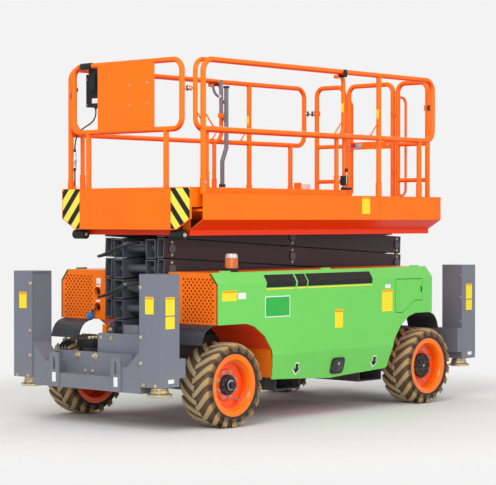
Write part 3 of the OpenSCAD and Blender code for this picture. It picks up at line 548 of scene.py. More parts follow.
class Kit:
    """The fittings of one body, gathered by finish: each finish becomes one piece."""

    def __init__(self, name, body):
        self.name = name
        self.body = body
        self.shapes = {}

    def keep(self, finish, part, place=None):
        bmesh.ops.remove_doubles(part, verts=part.verts, dist=1e-6)
        bmesh.ops.recalc_face_normals(part, faces=part.faces)
        if place:
            part.transform(place)
        mesh = bpy.data.meshes.new("part")
        part.to_mesh(mesh)
        part.free()
        self.shapes.setdefault(finish, bmesh.new()).from_mesh(mesh)
        bpy.data.meshes.remove(mesh)

    def block(self, finish, low, high, bevel=0.002):
        low, high = Vector(low), Vector(high)
        size = high - low
        part = bmesh.new()
        bmesh.ops.create_cube(part, size=1.0, matrix=Matrix.Diagonal((*size, 1)))
        round_edges(part, sharp_edges(part), min(bevel, 0.3 * min(size)))
        self.keep(finish, part, Matrix.Translation((low + high) / 2))

    def rod(self, finish, start, end, radius, sides=24, bevel=0.001, tip=None):
        start, end = Vector(start), Vector(end)
        part = bmesh.new()
        bmesh.ops.create_cone(part, cap_ends=True, segments=sides, radius1=radius,
                              radius2=radius if tip is None else tip, depth=(end - start).length)
        round_edges(part, sharp_edges(part), min(bevel, 0.3 * radius))
        self.keep(finish, part, Matrix.Translation((start + end) / 2) @ turned_to(end - start))

    def turned(self, finish, profile, centre, axis, steps=40):
        """A section of (radius, distance along the axis), turned round the axis.

        One whose first point is off the axis is closed into a ring.
        """
        part = bmesh.new()
        verts = [part.verts.new((r, 0, h)) for r, h in profile]
        onward = verts[1:] + verts[:1] if profile[0][0] > 0 else verts[1:]
        edges = [part.edges.new(pair) for pair in zip(verts, onward)]
        bmesh.ops.spin(part, geom=verts + edges, axis=(0, 0, 1), cent=(0, 0, 0), angle=math.tau,
                       steps=steps, use_merge=True)
        self.keep(finish, part, Matrix.Translation(Vector(centre)) @ turned_to(axis))

    def plate(self, finish, outline, place, thick, bevel=0.0):
        """A flat outline, thickened along its plane's normal."""
        part = bmesh.new()
        face = part.faces.new([part.verts.new((u, v, 0)) for u, v in outline])
        raised = bmesh.ops.extrude_face_region(part, geom=[face])["geom"]
        tops = [g for g in raised if isinstance(g, bmesh.types.BMVert)]
        bmesh.ops.translate(part, vec=(0, 0, thick), verts=tops)
        bmesh.ops.holes_fill(part, edges=part.edges, sides=len(outline))
        round_edges(part, sharp_edges(part), bevel)
        self.keep(finish, part, place)

    def pipe(self, finish, points, radius):
        """A bent line through a few points."""
        curve, _ = bent_line("line", points, radius)
        holder = bpy.data.objects.new("line", curve)
        mesh = bpy.data.meshes.new_from_object(holder)
        part = bmesh.new()
        part.from_mesh(mesh)
        self.keep(finish, part)
        bpy.data.objects.remove(holder)
        bpy.data.curves.remove(curve)
        bpy.data.meshes.remove(mesh)

    def bolt(self, seat, normal, radius=0.011, finish=None):
        """A hexagon head on its washer."""
        seat, out = Vector(seat), Vector(normal).normalized()
        finish = finish or zinc
        self.rod(finish, seat - out * 0.001, seat + out * 0.003, radius * 1.4, bevel=0.0005)
        self.rod(finish, seat + out * 0.002, seat + out * (0.003 + radius * 0.8), radius, sides=6)

    def screw(self, seat, normal, radius):
        """A domed screw head."""
        dome = [(0, -0.001), (radius, -0.001), (0.8 * radius, 0.3 * radius), (0, 0.5 * radius)]
        self.turned(steel, dome, seat, normal, 14)

    def sign(self, outline_box, place, head=0.16):
        """A blank yellow plate with an orange band across its top."""
        u0, u1, v0, v1 = outline_box
        self.plate(yellow_film, rounded(u0, u1, v0, v1), place, 0.0008)
        top = v1 - (v1 - v0) * head
        over = lifted(place, 0.0006)
        self.plate(orange_film, rounded(u0 + 0.004, u1 - 0.004, top, v1 - 0.004, 0.003), over, 0.0006)

    def label(self, outline_box, place, finish=None):
        self.plate(finish or white_film, rounded(*outline_box, 0.004), place, 0.0008)

    def done(self):
        """The pieces, by finish."""
        made = {}
        for finish, shape in self.shapes.items():
            piece = settle(f"{self.name}_{finish.name}", shape, finish, self.body)
            made[finish] = piece
        return made


def lifted(place, height):
    """A plane raised along its own normal."""
    return place @ Matrix.Translation((0, 0, height))


def front_plane(x):
    """A plane that faces forward; its axes are Y and Z."""
    return plane((x, 0, 0), (0, 1, 0), UPWARD)


def flank_plane(side, y):
    """A plane on the left (1) or right (-1) side, facing out; its first axis runs to the viewer's right."""
    return plane((0, side * y, 0), (-side, 0, 0), UPWARD)


def flank_box(side, x0, x1, z0, z1):
    """A rectangle given in X and Z, on a flank's plane."""
    us = sorted((-side * x0, -side * x1))
    return us[0], us[1], z0, z1


def cable_sleeve():
    """Bright coupling in the control cable, with a rubber boot at each end."""
    kit = Kit("cable_sleeve", "extension")
    middle = Vector((CABLE_ROUTE[-1][0], CABLE_ROUTE[-1][1], 0))
    coupling = [(0.005, 2.065), (0.013, 2.065), (0.014, 2.072), (0.014, 2.120), (0.0155, 2.124),
                (0.0155, 2.150), (0.014, 2.154), (0.014, 2.195), (0.012, 2.200), (0.005, 2.200)]
    lower_boot = [(0.005, 2.040), (0.0085, 2.040), (0.0115, 2.066), (0.005, 2.066)]
    upper_boot = [(0.005, 2.198), (0.0115, 2.198), (0.0085, 2.226), (0.005, 2.226)]
    kit.turned(steel, coupling, middle, UPWARD, 24)
    for boot in (lower_boot, upper_boot):
        kit.turned(black_plastic, boot, middle, UPWARD, 20)
    return list(kit.done().values())


cable_sleeve()


# Wheels

LUGS = 18
LUG_HEIGHT = 0.024
LUG_STATIONS = 6
LUG_ROOT = 0.012
LUG_EDGE = 0.005
LUG_SWEEP = 0.129
LUG_WIDTH = (0.042, 0.056)
LUG_OVERLAP = 0.010
SHOULDER = 0.045
BEAD_R = 0.212
WHEEL_NUTS = 8
# The steered rims' wall: its radius at the foot, the foot's distance out, and how fast it widens
WALL_R, WALL_FOOT, WALL_TAPER = 0.182, 0.052, 0.222


def lug(part, start, side, half):
    """One curved bar of the tread, laid out flat: X round the tyre, Y across it, Z up from the carcass."""
    rows = []
    for i in range(LUG_STATIONS):
        t = i / (LUG_STATIONS - 1)
        middle = start + 0.014 - LUG_SWEEP * t ** 1.2
        width = LUG_WIDTH[0] + (LUG_WIDTH[1] - LUG_WIDTH[0]) * t
        y = side * (t * (half + LUG_OVERLAP) - LUG_OVERLAP)
        rows.append([part.verts.new((middle + e * width / 2, y, -LUG_ROOT)) for e in (-1, 1)])
    faces = [part.faces.new((a[0], a[1], b[1], b[0])) for a, b in zip(rows, rows[1:])]
    raised = bmesh.ops.extrude_face_region(part, geom=faces)["geom"]
    tops = [g for g in raised if isinstance(g, bmesh.types.BMVert)]
    bmesh.ops.translate(part, vec=(0, 0, LUG_ROOT + LUG_HEIGHT), verts=tops)


def tyre(corner, outward):
    low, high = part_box("tyre_" + corner)
    centre = (low + high) / 2
    radius, half = (high.z - low.z) / 2, (high.y - low.y) / 2
    core = radius - LUG_HEIGHT
    part = bmesh.new()
    dust = part.verts.layers.float.new("dust")
    lug_end = part.verts.layers.float.new("lug_end")
    for i in range(LUGS):
        for side in (1, -1):
            lug(part, (i + (0.5 if side < 0 else 0)) * math.tau * core / LUGS, side, half)
    bmesh.ops.holes_fill(part, edges=part.edges, sides=0)
    round_edges(part, [e for e in sharp_edges(part) if max(v.co.z for v in e.verts) > 0], LUG_EDGE)
    for v in part.verts:
        round_tyre, across, height = v.co
        fall = max(0.0, abs(across) - (half - SHOULDER)) / SHOULDER
        lift = max(0.0, height) / LUG_HEIGHT
        v[dust] = 0.25 + 0.75 * lift
        v[lug_end] = min(1.0, fall * 1.2)
        reach = core + height - fall ** 2 * (0.034 - 0.018 * lift)
        angle = round_tyre / core
        v.co = (reach * math.sin(angle), outward * across, reach * math.cos(angle))
    lugs = set(part.verts)
    section = [(BEAD_R, half - 0.032), (BEAD_R + 0.036, half - 0.020), (BEAD_R + 0.038, half - 0.008),
               (BEAD_R + 0.048, half - 0.003), (BEAD_R + 0.058, half - 0.002), (BEAD_R + 0.060, half - 0.006),
               (BEAD_R + 0.066, half - 0.006), (core - 0.028, half - 0.006), (core - 0.014, half - 0.016),
               (core - 0.004, half - 0.030), (core, half - SHOULDER)]
    ring = section + [(r, -y) for r, y in reversed(section)]
    verts = [part.verts.new((0, y, r)) for r, y in ring]
    edges = [part.edges.new(pair) for pair in zip(verts, verts[1:] + verts[:1])]
    bmesh.ops.spin(part, geom=verts + edges, axis=(0, 1, 0), cent=(0, 0, 0), angle=math.tau, steps=96,
                   use_merge=True)
    for v in part.verts:
        if v not in lugs:
            v[dust] = 0.3 * min(1.0, max(0.0, (math.hypot(v.co.x, v.co.z) - core + 0.03) / 0.03))
    bmesh.ops.recalc_face_normals(part, faces=part.faces)
    part.transform(Matrix.Translation(centre))
    piece = settle("tread_" + corner, part, rubber, "wheel_" + corner)
    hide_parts("tyre_" + corner)


def wheel_face(corner, outward, steered):
    """Hub flange, drum and nuts; distances run outward from the tyre's middle."""
    low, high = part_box("tyre_" + corner)
    centre = (low + high) / 2
    axis = Vector((0, outward, 0))
    kit = Kit("hub_" + corner, "wheel_" + corner)
    flange = [(0, 0.028), (0.1279, 0.028), (0.1279, 0.044), (0.120, 0.053), (0, 0.053)]
    kit.turned(rim_paint, flange, centre, axis)
    if steered:
        # ridges rolled into the rim's wall, and the valve
        for depth in (0.066, 0.083, 0.100):
            wall = WALL_R + (depth - WALL_FOOT) * WALL_TAPER
            ridge = [(wall + 0.002, depth - 0.006), (wall - 0.004, depth - 0.003),
                     (wall - 0.004, depth + 0.003), (wall + 0.002, depth + 0.006)]
            kit.turned(rim_paint, ridge, centre, axis, 64)
        valve = centre + Vector((-0.104, 0, -0.124))
        kit.rod(steel, valve + axis * 0.045, valve + axis * 0.084, 0.006, sides=14)
        kit.rod(steel, valve + axis * 0.045, valve + axis * 0.058, 0.010, sides=14)
        drum = [(0, 0.05), (0.080, 0.05), (0.080, 0.076), (0.072, 0.084), (0.048, 0.086), (0.048, 0.098),
                (0, 0.098)]
        ring = [(0, 0.096), (0.041, 0.096), (0.041, 0.104), (0.036, 0.106), (0, 0.106)]
        cap = [(0, 0.104), (0.031, 0.104), (0.031, 0.132), (0.027, 0.136), (0, 0.136)]
        for finish, section in ((black_plastic, drum), (steel, ring), (black_plastic, cap)):
            kit.turned(finish, section, centre, axis)
        bolt_circle, seat = 0.103, 0.053
    else:
        drum = [(0, 0.05), (0.108, 0.05), (0.112, 0.060), (0.108, 0.074), (0.098, 0.078), (0.094, 0.074),
                (0.060, 0.078), (0.054, 0.088), (0, 0.088)]
        kit.turned(black_plastic, drum, centre, axis)
        kit.rod(steel, centre + axis * 0.087, centre + axis * 0.093, 0.012, sides=6)
        bolt_circle, seat = 0.150, 0.046
    for i in range(WHEEL_NUTS):
        a = math.tau * (i + 0.5) / WHEEL_NUTS
        spot = centre + Vector((bolt_circle * math.cos(a), 0, bolt_circle * math.sin(a)))
        kit.bolt(spot + axis * seat, axis, 0.0125, steel)
        kit.rod(steel, spot + axis * (seat + 0.01), spot + axis * (seat + 0.022), 0.006, sides=12)
    made = kit.done()
    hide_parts("hub_" + corner)


for corner in ("fl", "fr", "rl", "rr"):
    outward = 1 if corner[1] == "l" else -1
    tyre(corner, outward)
    wheel_face(corner, outward, corner[0] == "f")


# Side covers

BAND = ((0.924, 0.563), (0.541, 0.420), (0.405, -0.451))


def bevel_plane(side):
    return plane((0, side * COVER_Y, BEVEL_Z), (-side, 0, 0), (0, side * BEVEL_RUN.y, BEVEL_RUN.z))


def slope_plane(side):
    return plane((0, side * COVER_Y, SLOPE_TOP), (-side, 0, 0), (0, side * SLOPE_RUN.y, SLOPE_RUN.z))


def arrow(u, tip, size):
    """Outline of an arrow that points down."""
    return [(u, tip), (u + 0.5 * size, tip + 0.5 * size), (u + 0.22 * size, tip + 0.5 * size),
            (u + 0.22 * size, tip + size), (u - 0.22 * size, tip + size), (u - 0.22 * size, tip + 0.5 * size),
            (u - 0.5 * size, tip + 0.5 * size)]


def dress_cover(side, body):
    """Bands along the fold, latch and hinge screws, and the blank plates of the left cover."""
    kit = Kit(body + "_trim", body)
    upright, bevel, slope = flank_plane(side, COVER_Y), bevel_plane(side), slope_plane(side)
    for x0, x1 in BAND:
        strip = [(x0 + 0.008, 1.090), (x0, BEVEL_Z), (x1, BEVEL_Z), (x1 + 0.008, 1.090)]
        fold = [(x0, 0), (x0 - 0.012, 0.078), (x1 - 0.012, 0.078), (x1, 0)]
        line = [(x0 + 0.012, 1.073), (x0 + 0.010, 1.083), (x1 + 0.010, 1.083), (x1 + 0.012, 1.073)]
        kit.plate(black_film, [(-side * x, z) for x, z in strip], upright, 0.0008)
        kit.plate(black_film, [(-side * x, v) for x, v in fold], bevel, 0.0008)
        kit.plate(yellow_film, [(-side * x, z) for x, z in line], upright, 0.0008)
    # paddle latch in its rounded dish
    dish = rounded(*flank_box(side, 0.081, -0.090, -0.208, -0.066), 0.035, 6)
    paddle = rounded(*flank_box(side, 0.058, -0.067, -0.186, -0.088), 0.022, 6)
    lock = [(0, -0.002), (0.013, -0.002), (0.013, 0.004), (0.009, 0.006), (0, 0.006)]
    raised = lifted(slope, 0.010)
    kit.plate(black_plastic, dish, slope, 0.012, 0.004)
    kit.plate(dark_paint, paddle, raised, 0.006, 0.002)
    keyhole = raised @ Vector((0.004 * side, -0.116, 0.006))
    kit.turned(steel, lock, keyhole, slope.to_3x3() @ Vector(UPWARD), 20)
    # screws along the hinged edge
    normal = bevel.to_3x3() @ Vector(UPWARD)
    for i in range(10):
        spot = bevel @ Vector((-side * (1.40 - i * 0.29), 0.104, 0))
        kit.screw(spot, normal, 0.008)
    if side > 0:
        for x in (0.523, -0.510):
            kit.plate(white_film, arrow(-side * x, -0.188, 0.108), slope, 0.0006)
            kit.plate(black_film, arrow(-side * x, -0.174, 0.084), lifted(slope, 0.0004), 0.0006)
        kit.label(flank_box(side, 0.948, 0.640, 0.850, 1.020), upright)
        kit.label(flank_box(side, 0.940, 0.648, 0.858, 1.012), lifted(upright, 0.0005), green_film)
        kit.sign(flank_box(side, 0.061, -0.046, 0.728, 0.883), upright)
        kit.sign(flank_box(side, -0.582, -0.732, 0.841, 1.028), upright, 0.09)
        kit.label(flank_box(side, -0.625, -0.703, 1.042, 1.074), upright)
        kit.sign(flank_box(side, 1.455, 1.287, 0.996, 1.079), upright, 0.2)
        kit.label(flank_box(side, 1.270, 1.176, 1.008, 1.058), upright)
    kit.done()


dress_cover(1, "left_cover")
dress_cover(-1, "right_cover")


def dress_door():
    """Hinge knuckles, their screws and an oval latch."""
    low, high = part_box("access_door")
    kit = Kit("door_trim", "cover_door")
    pin_x, pin_y = high.x - 0.004, COVER_Y + 0.006
    count = 9
    step = (high.z - low.z - 0.04) / count
    for i in range(count):
        z = low.z + 0.02 + i * step
        kit.rod(green_paint, (pin_x, pin_y, z + 0.002), (pin_x, pin_y, z + step - 0.002), 0.0062)
        if i % 2:
            kit.screw((pin_x - 0.016, COVER_Y + 0.001, z + step / 2), (0, 1, 0), 0.006)
    latch = rounded(*flank_box(1, -1.140, -1.154, 0.996, 1.046), 0.0068, 6)
    kit.plate(black_plastic, latch, flank_plane(1, COVER_Y + 0.001), 0.004, 0.001)
    kit.done()


dress_door()


# Chassis

def dress_outriggers():
    """Bolts and blank plates of the outriggers' boxes, and the collars of their legs."""
    kit = Kit("outrigger_trim", "chassis")
    for side in (1, -1):
        for y, z in ((0.632, 1.119), (0.636, 0.737), (0.636, 0.537), (0.664, 0.371), (0.793, 0.371)):
            for end in (1, -1):
                kit.bolt((end * LEG_X, side * y, z), (end, 0, 0), 0.010)
        kit.sign((*sorted((side * 0.682, side * 0.773)), 0.915, 1.048), front_plane(LEG_X), 0.14)
        for z in (1.12, 0.92, 0.70):
            kit.bolt((-1.867, side * 0.822, z), AHEAD, 0.008)
    near = flank_plane(1, LEG_Y)
    for x0, x1 in ((2.018, 1.920), (-1.932, -2.028)):
        kit.sign(flank_box(1, x0, x1, 0.905, 1.045), near, 0.12)
        kit.label(flank_box(1, x0, x1, 0.802, 0.896), near, yellow_film)
        kit.label(flank_box(1, x0 - 0.028, x1 + 0.006, 0.386, 0.416), near)
    # two collars on each leg, under its box: foot of the collar, its radius and its height
    for name in ("leg_fl", "leg_fr", "leg_rl", "leg_rr"):
        low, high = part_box(name)
        middle = Vector(((low.x + high.x) / 2, (low.y + high.y) / 2, 0))
        feet = Kit(name + "_trim", "outrigger_" + name)
        for z, r, tall in ((0.311, 0.072, 0.010), (0.327, 0.070, 0.008)):
            collar = [(0.060, z), (r, z), (r + 0.002, z + tall / 2), (r, z + tall), (0.060, z + tall)]
            feet.turned(zinc, collar, middle, UPWARD)
        feet.done()
    kit.done()


dress_outriggers()


def dress_front():
    """What shows between the front outriggers."""
    kit = Kit("front_trim", "chassis")
    beam_x = LEG_X - 0.142
    for y, z in ((-0.219, 0.553), (-0.021, 0.553)):
        kit.bolt((beam_x, y, z), AHEAD, 0.017)
        kit.rod(zinc, (beam_x, y, z), (beam_x + 0.03, y, z), 0.011)
    for y in (-0.140, -0.050):
        kit.bolt((beam_x, y, 0.430), AHEAD, 0.010)
    cover_x = LEG_X - 0.205
    for y, z in ((-0.022, 0.697), (0.094, 0.694), (0.560, 0.700), (0.560, 0.530)):
        kit.bolt((cover_x, y, z), AHEAD, 0.011)
    for y in (0.355, -0.355):
        kit.label((y - 0.022, y + 0.022, 0.340, 0.415), front_plane(LEG_X - 0.002))
    # stop block and pivot on the chassis plate, in front of the lowest cross tube
    kit.block(grey_paint, (1.495, -0.110, 0.612), (1.545, 0.060, 0.780), 0.006)
    kit.block(dark_paint, (1.532, -0.285, 0.612), (1.558, -0.205, 0.765), 0.010)
    kit.bolt((1.558, -0.245, 0.735), AHEAD, 0.014)
    kit.block(orange_paint, (1.520, -0.345, 0.612), (1.556, -0.300, 0.775), 0.003)
    # valve block on the right chassis rail, with its hoses down to a bracket
    kit.block(black_plastic, (1.640, -0.410, 0.600), (1.780, -0.225, 0.668), 0.006)
    for i in range(3):
        x = 1.688 + i * 0.036
        kit.rod(steel, (x, -0.410, 0.640), (x, -0.436, 0.640), 0.013, sides=6)
        kit.pipe(hose_cover, [(x, -0.430, 0.640), (x + 0.01, -0.500, 0.652), (x + 0.02, -0.570, 0.630),
                              (x + 0.02, -0.615, 0.585), (x + 0.02, -0.620, 0.571)], 0.011)
        kit.rod(steel, (x + 0.02, -0.620, 0.566), (x + 0.02, -0.620, 0.592), 0.015, sides=6)
        kit.rod(zinc, (x, -0.280, 0.667), (x, -0.280, 0.690), 0.014, sides=6)
    kit.block(dark_paint, (1.694, -0.650, 0.540), (1.799, -0.596, 0.569), 0.004)
    # seal between each cover's front edge and the grille
    edge = [(0.889, 0.815), (0.8965, 0.815), (0.8965, 1.126), (0.824, 1.213), (0.812, 1.213), (0.889, 1.120)]
    for side in (1, -1):
        kit.plate(black_film, [(side * y, z) for y, z in edge], front_plane(COVER_FRONT - 0.013), 0.0145)
    # sockets in the right grille and the plug parked in the lower one
    grille = front_plane(COVER_FRONT)
    cup = [(0.0385, 0.004), (0.043, 0.004), (0.043, 0.0), (0.0385, 0.0), (0.0385, -0.05), (0, -0.05),
           (0, -0.048), (0.036, -0.048), (0.036, 0.003)]
    insert = [(0, -0.049), (0.026, -0.049), (0.026, -0.020), (0.022, -0.018), (0, -0.018)]
    for z in (0.911, 1.040):
        kit.turned(orange_paint, cup, (COVER_FRONT, -0.457, z), AHEAD)
        kit.turned(black_plastic, insert, (COVER_FRONT, -0.457, z), AHEAD, 24)
    lead = [(1.482, -0.457, 0.911), (1.512, -0.460, 0.907), (1.530, -0.474, 0.885), (1.534, -0.492, 0.864)]
    plug = [(0, 0), (0.016, 0), (0.018, 0.016), (0.030, 0.020), (0.032, 0.052), (0.028, 0.058), (0, 0.058)]
    kit.pipe(hose_cover, lead, 0.008)
    kit.turned(blue_plastic, plug, (1.534, -0.488, 0.868), (0.004, -0.6, -0.75), 28)
    kit.label((-0.470, -0.418, 1.104, 1.152), grille)
    kit.label((-0.470, -0.418, 1.080, 1.094), grille)
    kit.label((-0.478, -0.426, 0.956, 0.970), grille)
    # collar, flutes and dome of the warning light
    low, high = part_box("beacon_base")
    foot = Vector(((low.x + high.x) / 2, (low.y + high.y) / 2, low.z))
    collar = [(0, 0), (0.054, 0), (0.054, 0.012), (0.0525, 0.016), (0, 0.016)]
    kit.turned(black_plastic, collar, foot, UPWARD)
    flute_low, flute_high = 0.030, 0.112
    flutes, flute_circle, flute_r = 24, 0.049, 0.0024
    for i in range(flutes):
        a = math.tau * i / flutes
        spot = foot + Vector((flute_circle * math.cos(a), flute_circle * math.sin(a), 0))
        kit.rod(amber, spot + Vector((0, 0, flute_low)), spot + Vector((0, 0, flute_high)), flute_r, sides=8)
    sleeve = [(0.040, flute_low), (0.0485, flute_low), (0.0485, flute_high), (0.040, flute_high)]
    kit.turned(amber, sleeve, foot, UPWARD)
    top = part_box("beacon_lens")[1].z - foot.z
    dome = [(0.042, top - 0.032), (0.0500, top - 0.032), (0.0490, top - 0.014), (0.040, top + 0.002),
            (0.018, top + 0.005), (0, top + 0.005), (0, top - 0.003), (0.018, top - 0.004),
            (0.042, top - 0.030)]
    kit.turned(clear, dome, foot, UPWARD)
    kit.done()


dress_front()


# Scissor arms

def dress_arms():
    """Two bolts on the outer arm beside each pin's end, and the hoses' steel ends."""
    for k in range(1, 6):
        kit = Kit(f"arm_bolts_{k}", f"outer_arms_{k}")
        for share in (0.0, 0.5, 1.0):
            if (k == 1 and share == 0.0) or (k == 5 and share == 1.0):
                continue
            x = PIN_REAR + share * (PIN_FRONT - PIN_REAR)
            z = ROW_Z + (k - 1 + share) * ROW_STEP
            for side in (1, -1):
                for lift in (0.052, -0.052):
                    kit.bolt((x, side * STACK_Y, z + lift), (0, side, 0), 0.0085)
        kit.done()
    for k in (3, 5):
        kit = Kit(f"hose_ends_{k}", f"inner_arms_{k}")
        drop = (5 - k) * ROW_STEP
        kit.rod(steel, (1.550, -0.058, 1.440 - drop), (1.550, -0.088, 1.440 - drop), 0.0135, sides=6)
        kit.rod(steel, (1.498, 0.080, 1.448 - drop), (1.532, 0.080, 1.448 - drop), 0.0135, sides=6)
        kit.done()


dress_arms()


# Platform

def upright_foot(kit, x, y, z, radius, side):
    """Socket round a post's foot, with its cross bolt."""
    socket = [(radius - 0.001, 0), (radius + 0.0045, 0), (radius + 0.0045, 0.118), (radius + 0.001, 0.122),
              (radius - 0.001, 0.122)]
    kit.turned(orange_paint, socket, (x, y, z), UPWARD, 28)
    kit.bolt((x, y + side * (radius + 0.003), z + 0.085), (0, side, 0), 0.008, steel)
    kit.block(orange_paint, (x - radius - 0.012, y - 0.004, z), (x - radius, y + 0.004, z + 0.05), 0.001)


def brace(kit, post_x, y, toward, radius=0.006):
    """A thin stay from an upright down to its pad on the middle rail."""
    foot = Vector((post_x + toward * 0.120, y, MID_Z + 0.018))
    kit.rod(orange_paint, (post_x, y, MID_Z + 0.150), foot, radius, sides=12)
    kit.block(orange_paint, foot - Vector((0.020, 0.010, 0.004)), foot + Vector((0.020, 0.010, 0.006)), 0.002)


def tag(kit, x, y, z0, radius):
    """A blank strip on the front of an upright."""
    face = x + radius
    kit.block(yellow_film, (face - 0.005, y - 0.008, z0), (face + 0.001, y + 0.014, z0 + 0.078), 0.0005)


def dress_platform():
    """Sockets, stays and ties of the platform's rails, and what sits on its skirts."""
    kit = Kit("platform_trim", "platform")
    rear_post, tagged_post, front_post = -1.308, -0.718, 1.519
    tie_z = 2.655
    for side in (1, -1):
        rail_y = side * RAIL_Y
        for x in (rear_post, tagged_post, front_post):
            upright_foot(kit, x, rail_y, SKIRT_TOP, RAIL_R, side)
        brace(kit, front_post, rail_y, -1)
        brace(kit, tagged_post, rail_y, 1)
        tag(kit, tagged_post, rail_y, 2.520, RAIL_R)
        # pin that ties the side rail to the rear frame, with its two washers and its lug
        kit.rod(steel, (-1.513, side * 0.752, tie_z), (-1.580, side * 0.664, tie_z), 0.014, sides=16)
        for (x0, y0), (x1, y1) in (((-1.526, 0.735), (-1.536, 0.722)), ((-1.552, 0.701), (-1.562, 0.688))):
            kit.rod(dark_paint, (x0, side * y0, tie_z), (x1, side * y1, tie_z), 0.026, sides=20)
        lug_y = side * 0.656
        kit.block(orange_paint, (-1.600, lug_y - 0.028, tie_z - 0.025),
                  (-1.560, lug_y + 0.028, tie_z + 0.025), 0.004)
        # seam of the skirt's two sheets
        skirt_y = side * DECK_Y
        kit.block(seam_line, (-0.7125, skirt_y - 0.003, 1.640),
                  (-0.7095, skirt_y + 0.0008, SKIRT_TOP), 0.0003)
    near = flank_plane(1, DECK_Y)
    kit.sign(flank_box(1, -0.457, -0.569, 1.685, 1.827), near, 0.1)
    # outlet box on the right skirt
    kit.block(white_film, (-1.545, -0.775, SKIRT_TOP), (-1.402, -0.705, SKIRT_TOP + 0.140), 0.006)
    kit.block(orange_paint, (-1.402, -0.778, SKIRT_TOP), (-1.382, -0.702, SKIRT_TOP + 0.150), 0.002)
    kit.done()


dress_platform()


def dress_gate():
    """Latch plate, its bolts and its red catch on the gate's middle bar."""
    kit = Kit("gate_trim", "entry_gate")
    face = -1.572
    for y in (-0.215, -0.130, 0.215):
        kit.bolt((face, y, MID_Z - 0.015), AHEAD, 0.009, steel)
    kit.block(steel, (face, -0.250, MID_Z - 0.038), (face + 0.006, -0.095, MID_Z + 0.006), 0.001)
    kit.block(red_plastic, (face + 0.006, -0.215, MID_Z - 0.032),
              (face + 0.030, -0.180, MID_Z + 0.012), 0.004)
    kit.done()


dress_gate()


# Extension deck

def dress_extension():
    """Striped plate ends, sockets, stays, pins and guides of the roll-out deck."""
    kit = Kit("extension_trim", "extension")
    lock_post, front_post = -0.283, 1.558
    pin_z = 2.665
    # striped ends of the front plate
    ends = [(TAPE_IN, 1.563), (0.586, 1.563), (TAPE_OUT, 1.644), (TAPE_OUT, PLATE_TOP - 0.006),
            (TAPE_IN, PLATE_TOP - 0.006)]
    for side in (1, -1):
        kit.plate(hazard_film, [(side * y, z) for y, z in ends], front_plane(PLATE_X), 0.0008)
        for x in (-0.190, 1.430):
            upright_foot(kit, x, side * EXT_Y, PLATE_TOP, EXT_R, side)
        brace(kit, lock_post, side * EXT_Y, 1)
        brace(kit, front_post, side * EXT_Y, -1)
        skirt_y = side * 0.7275
        kit.block(seam_line, (1.088, skirt_y - 0.003, 1.845), (1.092, skirt_y + 0.0008, PLATE_TOP), 0.0003)
        # bolts at both ends of the roller's pin
        for y, out in ((0.497, -side), (0.630, side)):
            kit.bolt((PLATE_X - 0.050, side * y, 1.515), (0, out, 0), 0.012)
        # pin between the front loop and the side rail
        kit.rod(steel, (1.596, side * 0.646, pin_z), (1.572, side * 0.689, pin_z), 0.016, sides=20)
        kit.rod(dark_paint, (1.591, side * 0.655, pin_z), (1.587, side * 0.662, pin_z), 0.024, sides=20)
        kit.rod(orange_paint, (1.580, side * 0.674, pin_z), (1.574, side * 0.685, pin_z), 0.022, sides=20)
        # guide that rides on the main top rail: pad, lip and arm
        for finish, x0, x1, y, half, z0, z1 in (
                (black_plastic, -0.238, -0.196, 0.745, 0.046, 2.850, 2.868),
                (black_plastic, -0.238, -0.196, 0.790, 0.0045, 2.850, 2.914),
                (orange_paint, -0.196, -0.146, 0.730, 0.012, 2.838, 2.866)):
            kit.block(finish, (x0, side * y - half, z0), (x1, side * y + half, z1), 0.003)
    tag(kit, lock_post, EXT_Y, 2.555, EXT_R)
    # lock on the left lock post: body, knob and foot lever
    kit.block(black_plastic, (-0.322, 0.692, 1.930), (-0.264, 0.738, 2.012), 0.006)
    kit.rod(steel, (-0.293, 0.742, 1.935), (-0.293, 0.742, 2.055), 0.006, sides=12)
    kit.rod(black_plastic, (-0.293, 0.742, 2.045), (-0.293, 0.742, 2.075), 0.012, sides=16)
    kit.block(black_plastic, (-0.372, 0.700, PLATE_TOP), (-0.262, 0.737, PLATE_TOP + 0.022), 0.005)
    # front panel's screws
    panel_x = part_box("front_panel")[1].x
    for y, z in ((0.062, 2.715), (0.262, 2.725), (0.262, 2.560), (0.062, 2.552)):
        kit.screw((panel_x, y, z), AHEAD, 0.009)
    kit.done()


dress_extension()


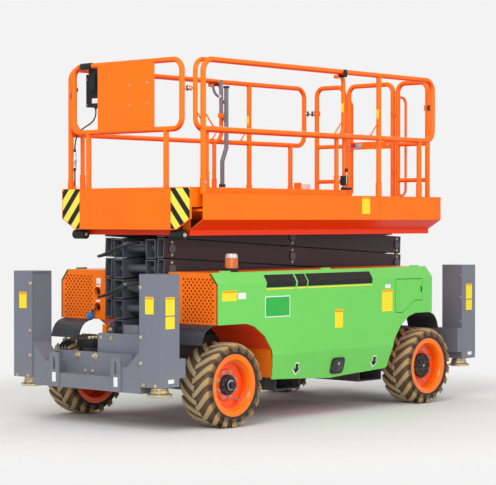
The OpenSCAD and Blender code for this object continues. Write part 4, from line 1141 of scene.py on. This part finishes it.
def dress_controls():
    """Clamp, panel, lever, buttons and socket of the control station."""
    kit = Kit("controls", "extension")
    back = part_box("control_box")[0].x
    front = back + 0.170
    right, left, top = -0.540, -0.330, RAIL_Z - 0.060
    clamp_x = PLATE_X - 0.030
    kit.rod(black_plastic, (clamp_x, -0.530, RAIL_Z), (clamp_x, -0.395, RAIL_Z), 0.0275,
            sides=32, bevel=0.003)
    panel = plane((back, 0, 0), (0, -1, 0), UPWARD)
    kit.plate(dark_paint, rounded(0.340, 0.530, top - 0.255, top - 0.015, 0.01), panel, 0.003, 0.001)
    # buttons, rocker switches and stop button on the operator's side
    face = back - 0.003
    button = [(0, -0.001), (0.012, -0.001), (0.012, 0.008), (0.009, 0.011), (0, 0.011)]
    for i, finish in enumerate((blue_plastic, yellow_film, green_film, white_film)):
        kit.turned(finish, button, (face, -0.375 - 0.038 * i, top - 0.205), ASTERN, 20)
    for i in range(3):
        y = -0.385 - 0.050 * i
        kit.block(black_film, (back - 0.014, y - 0.014, top - 0.150),
                  (back - 0.002, y + 0.014, top - 0.110), 0.003)
    base = [(0, -0.001), (0.030, -0.001), (0.030, 0.006), (0, 0.006)]
    mushroom = [(0, 0.004), (0.012, 0.004), (0.012, 0.020), (0.024, 0.022), (0.024, 0.032), (0.016, 0.038),
                (0, 0.040)]
    for finish, section in ((yellow_film, base), (red_plastic, mushroom)):
        kit.turned(finish, section, (face, -0.490, top - 0.060), ASTERN)
    # drive lever with its boot, on the top
    stem = (PLATE_X - 0.190, -0.400, top)
    boot = [(0, -0.001), (0.040, -0.001), (0.036, 0.010), (0.034, 0.012), (0.030, 0.020), (0.026, 0.022),
            (0.020, 0.032), (0.011, 0.036), (0.010, 0.060), (0, 0.060)]
    knob = [(0, 0.046), (0.016, 0.046), (0.020, 0.062), (0.019, 0.078), (0.012, 0.086), (0, 0.087)]
    for section in (boot, knob):
        kit.turned(black_plastic, section, stem, UPWARD)
    # lid seam, corner screws and a blank label
    seam = ((back - 0.001, right - 0.001, top - 0.030), (front + 0.001, left + 0.001, top - 0.027))
    kit.block(black_film, *seam, 0.0003)
    for y in (-0.525, -0.345):
        for z in (top - 0.252, top - 0.045):
            kit.screw((front, y, z), AHEAD, 0.006)
    kit.label((-0.470, -0.380, top - 0.240, top - 0.200), front_plane(front))
    # stop switch on the right rail's front upright
    kit.block(black_plastic, (1.540, -0.698, 2.668), (1.574, -0.672, 2.764), 0.004)
    stop = [(0, 0), (0.010, 0), (0.010, 0.010), (0.020, 0.012), (0.020, 0.022), (0.014, 0.028), (0, 0.029)]
    kit.turned(red_plastic, stop, (1.557, -0.672, 2.716), (0, 1, 0), 24)
    # grip sleeve and lugs of the push handle
    x = PLATE_X - 1.924
    y = -EXT_Y + 0.056
    kit.rod(white_film, (x + 0.078, y, 2.7502), (x + 0.100, y, 2.7526), 0.0165, sides=24)
    kit.block(orange_paint, (x + 0.040, y - 0.020, 2.560), (x + 0.085, y + 0.020, 2.600), 0.004)
    kit.block(dark_paint, (x - 0.030, y - 0.022, 2.830), (x + 0.012, y + 0.022, 2.852), 0.004)
    kit.block(dark_paint, (x + 0.025, y - 0.024, 1.930), (x + 0.066, y + 0.024, 1.960), 0.004)
    kit.done()


dress_controls()
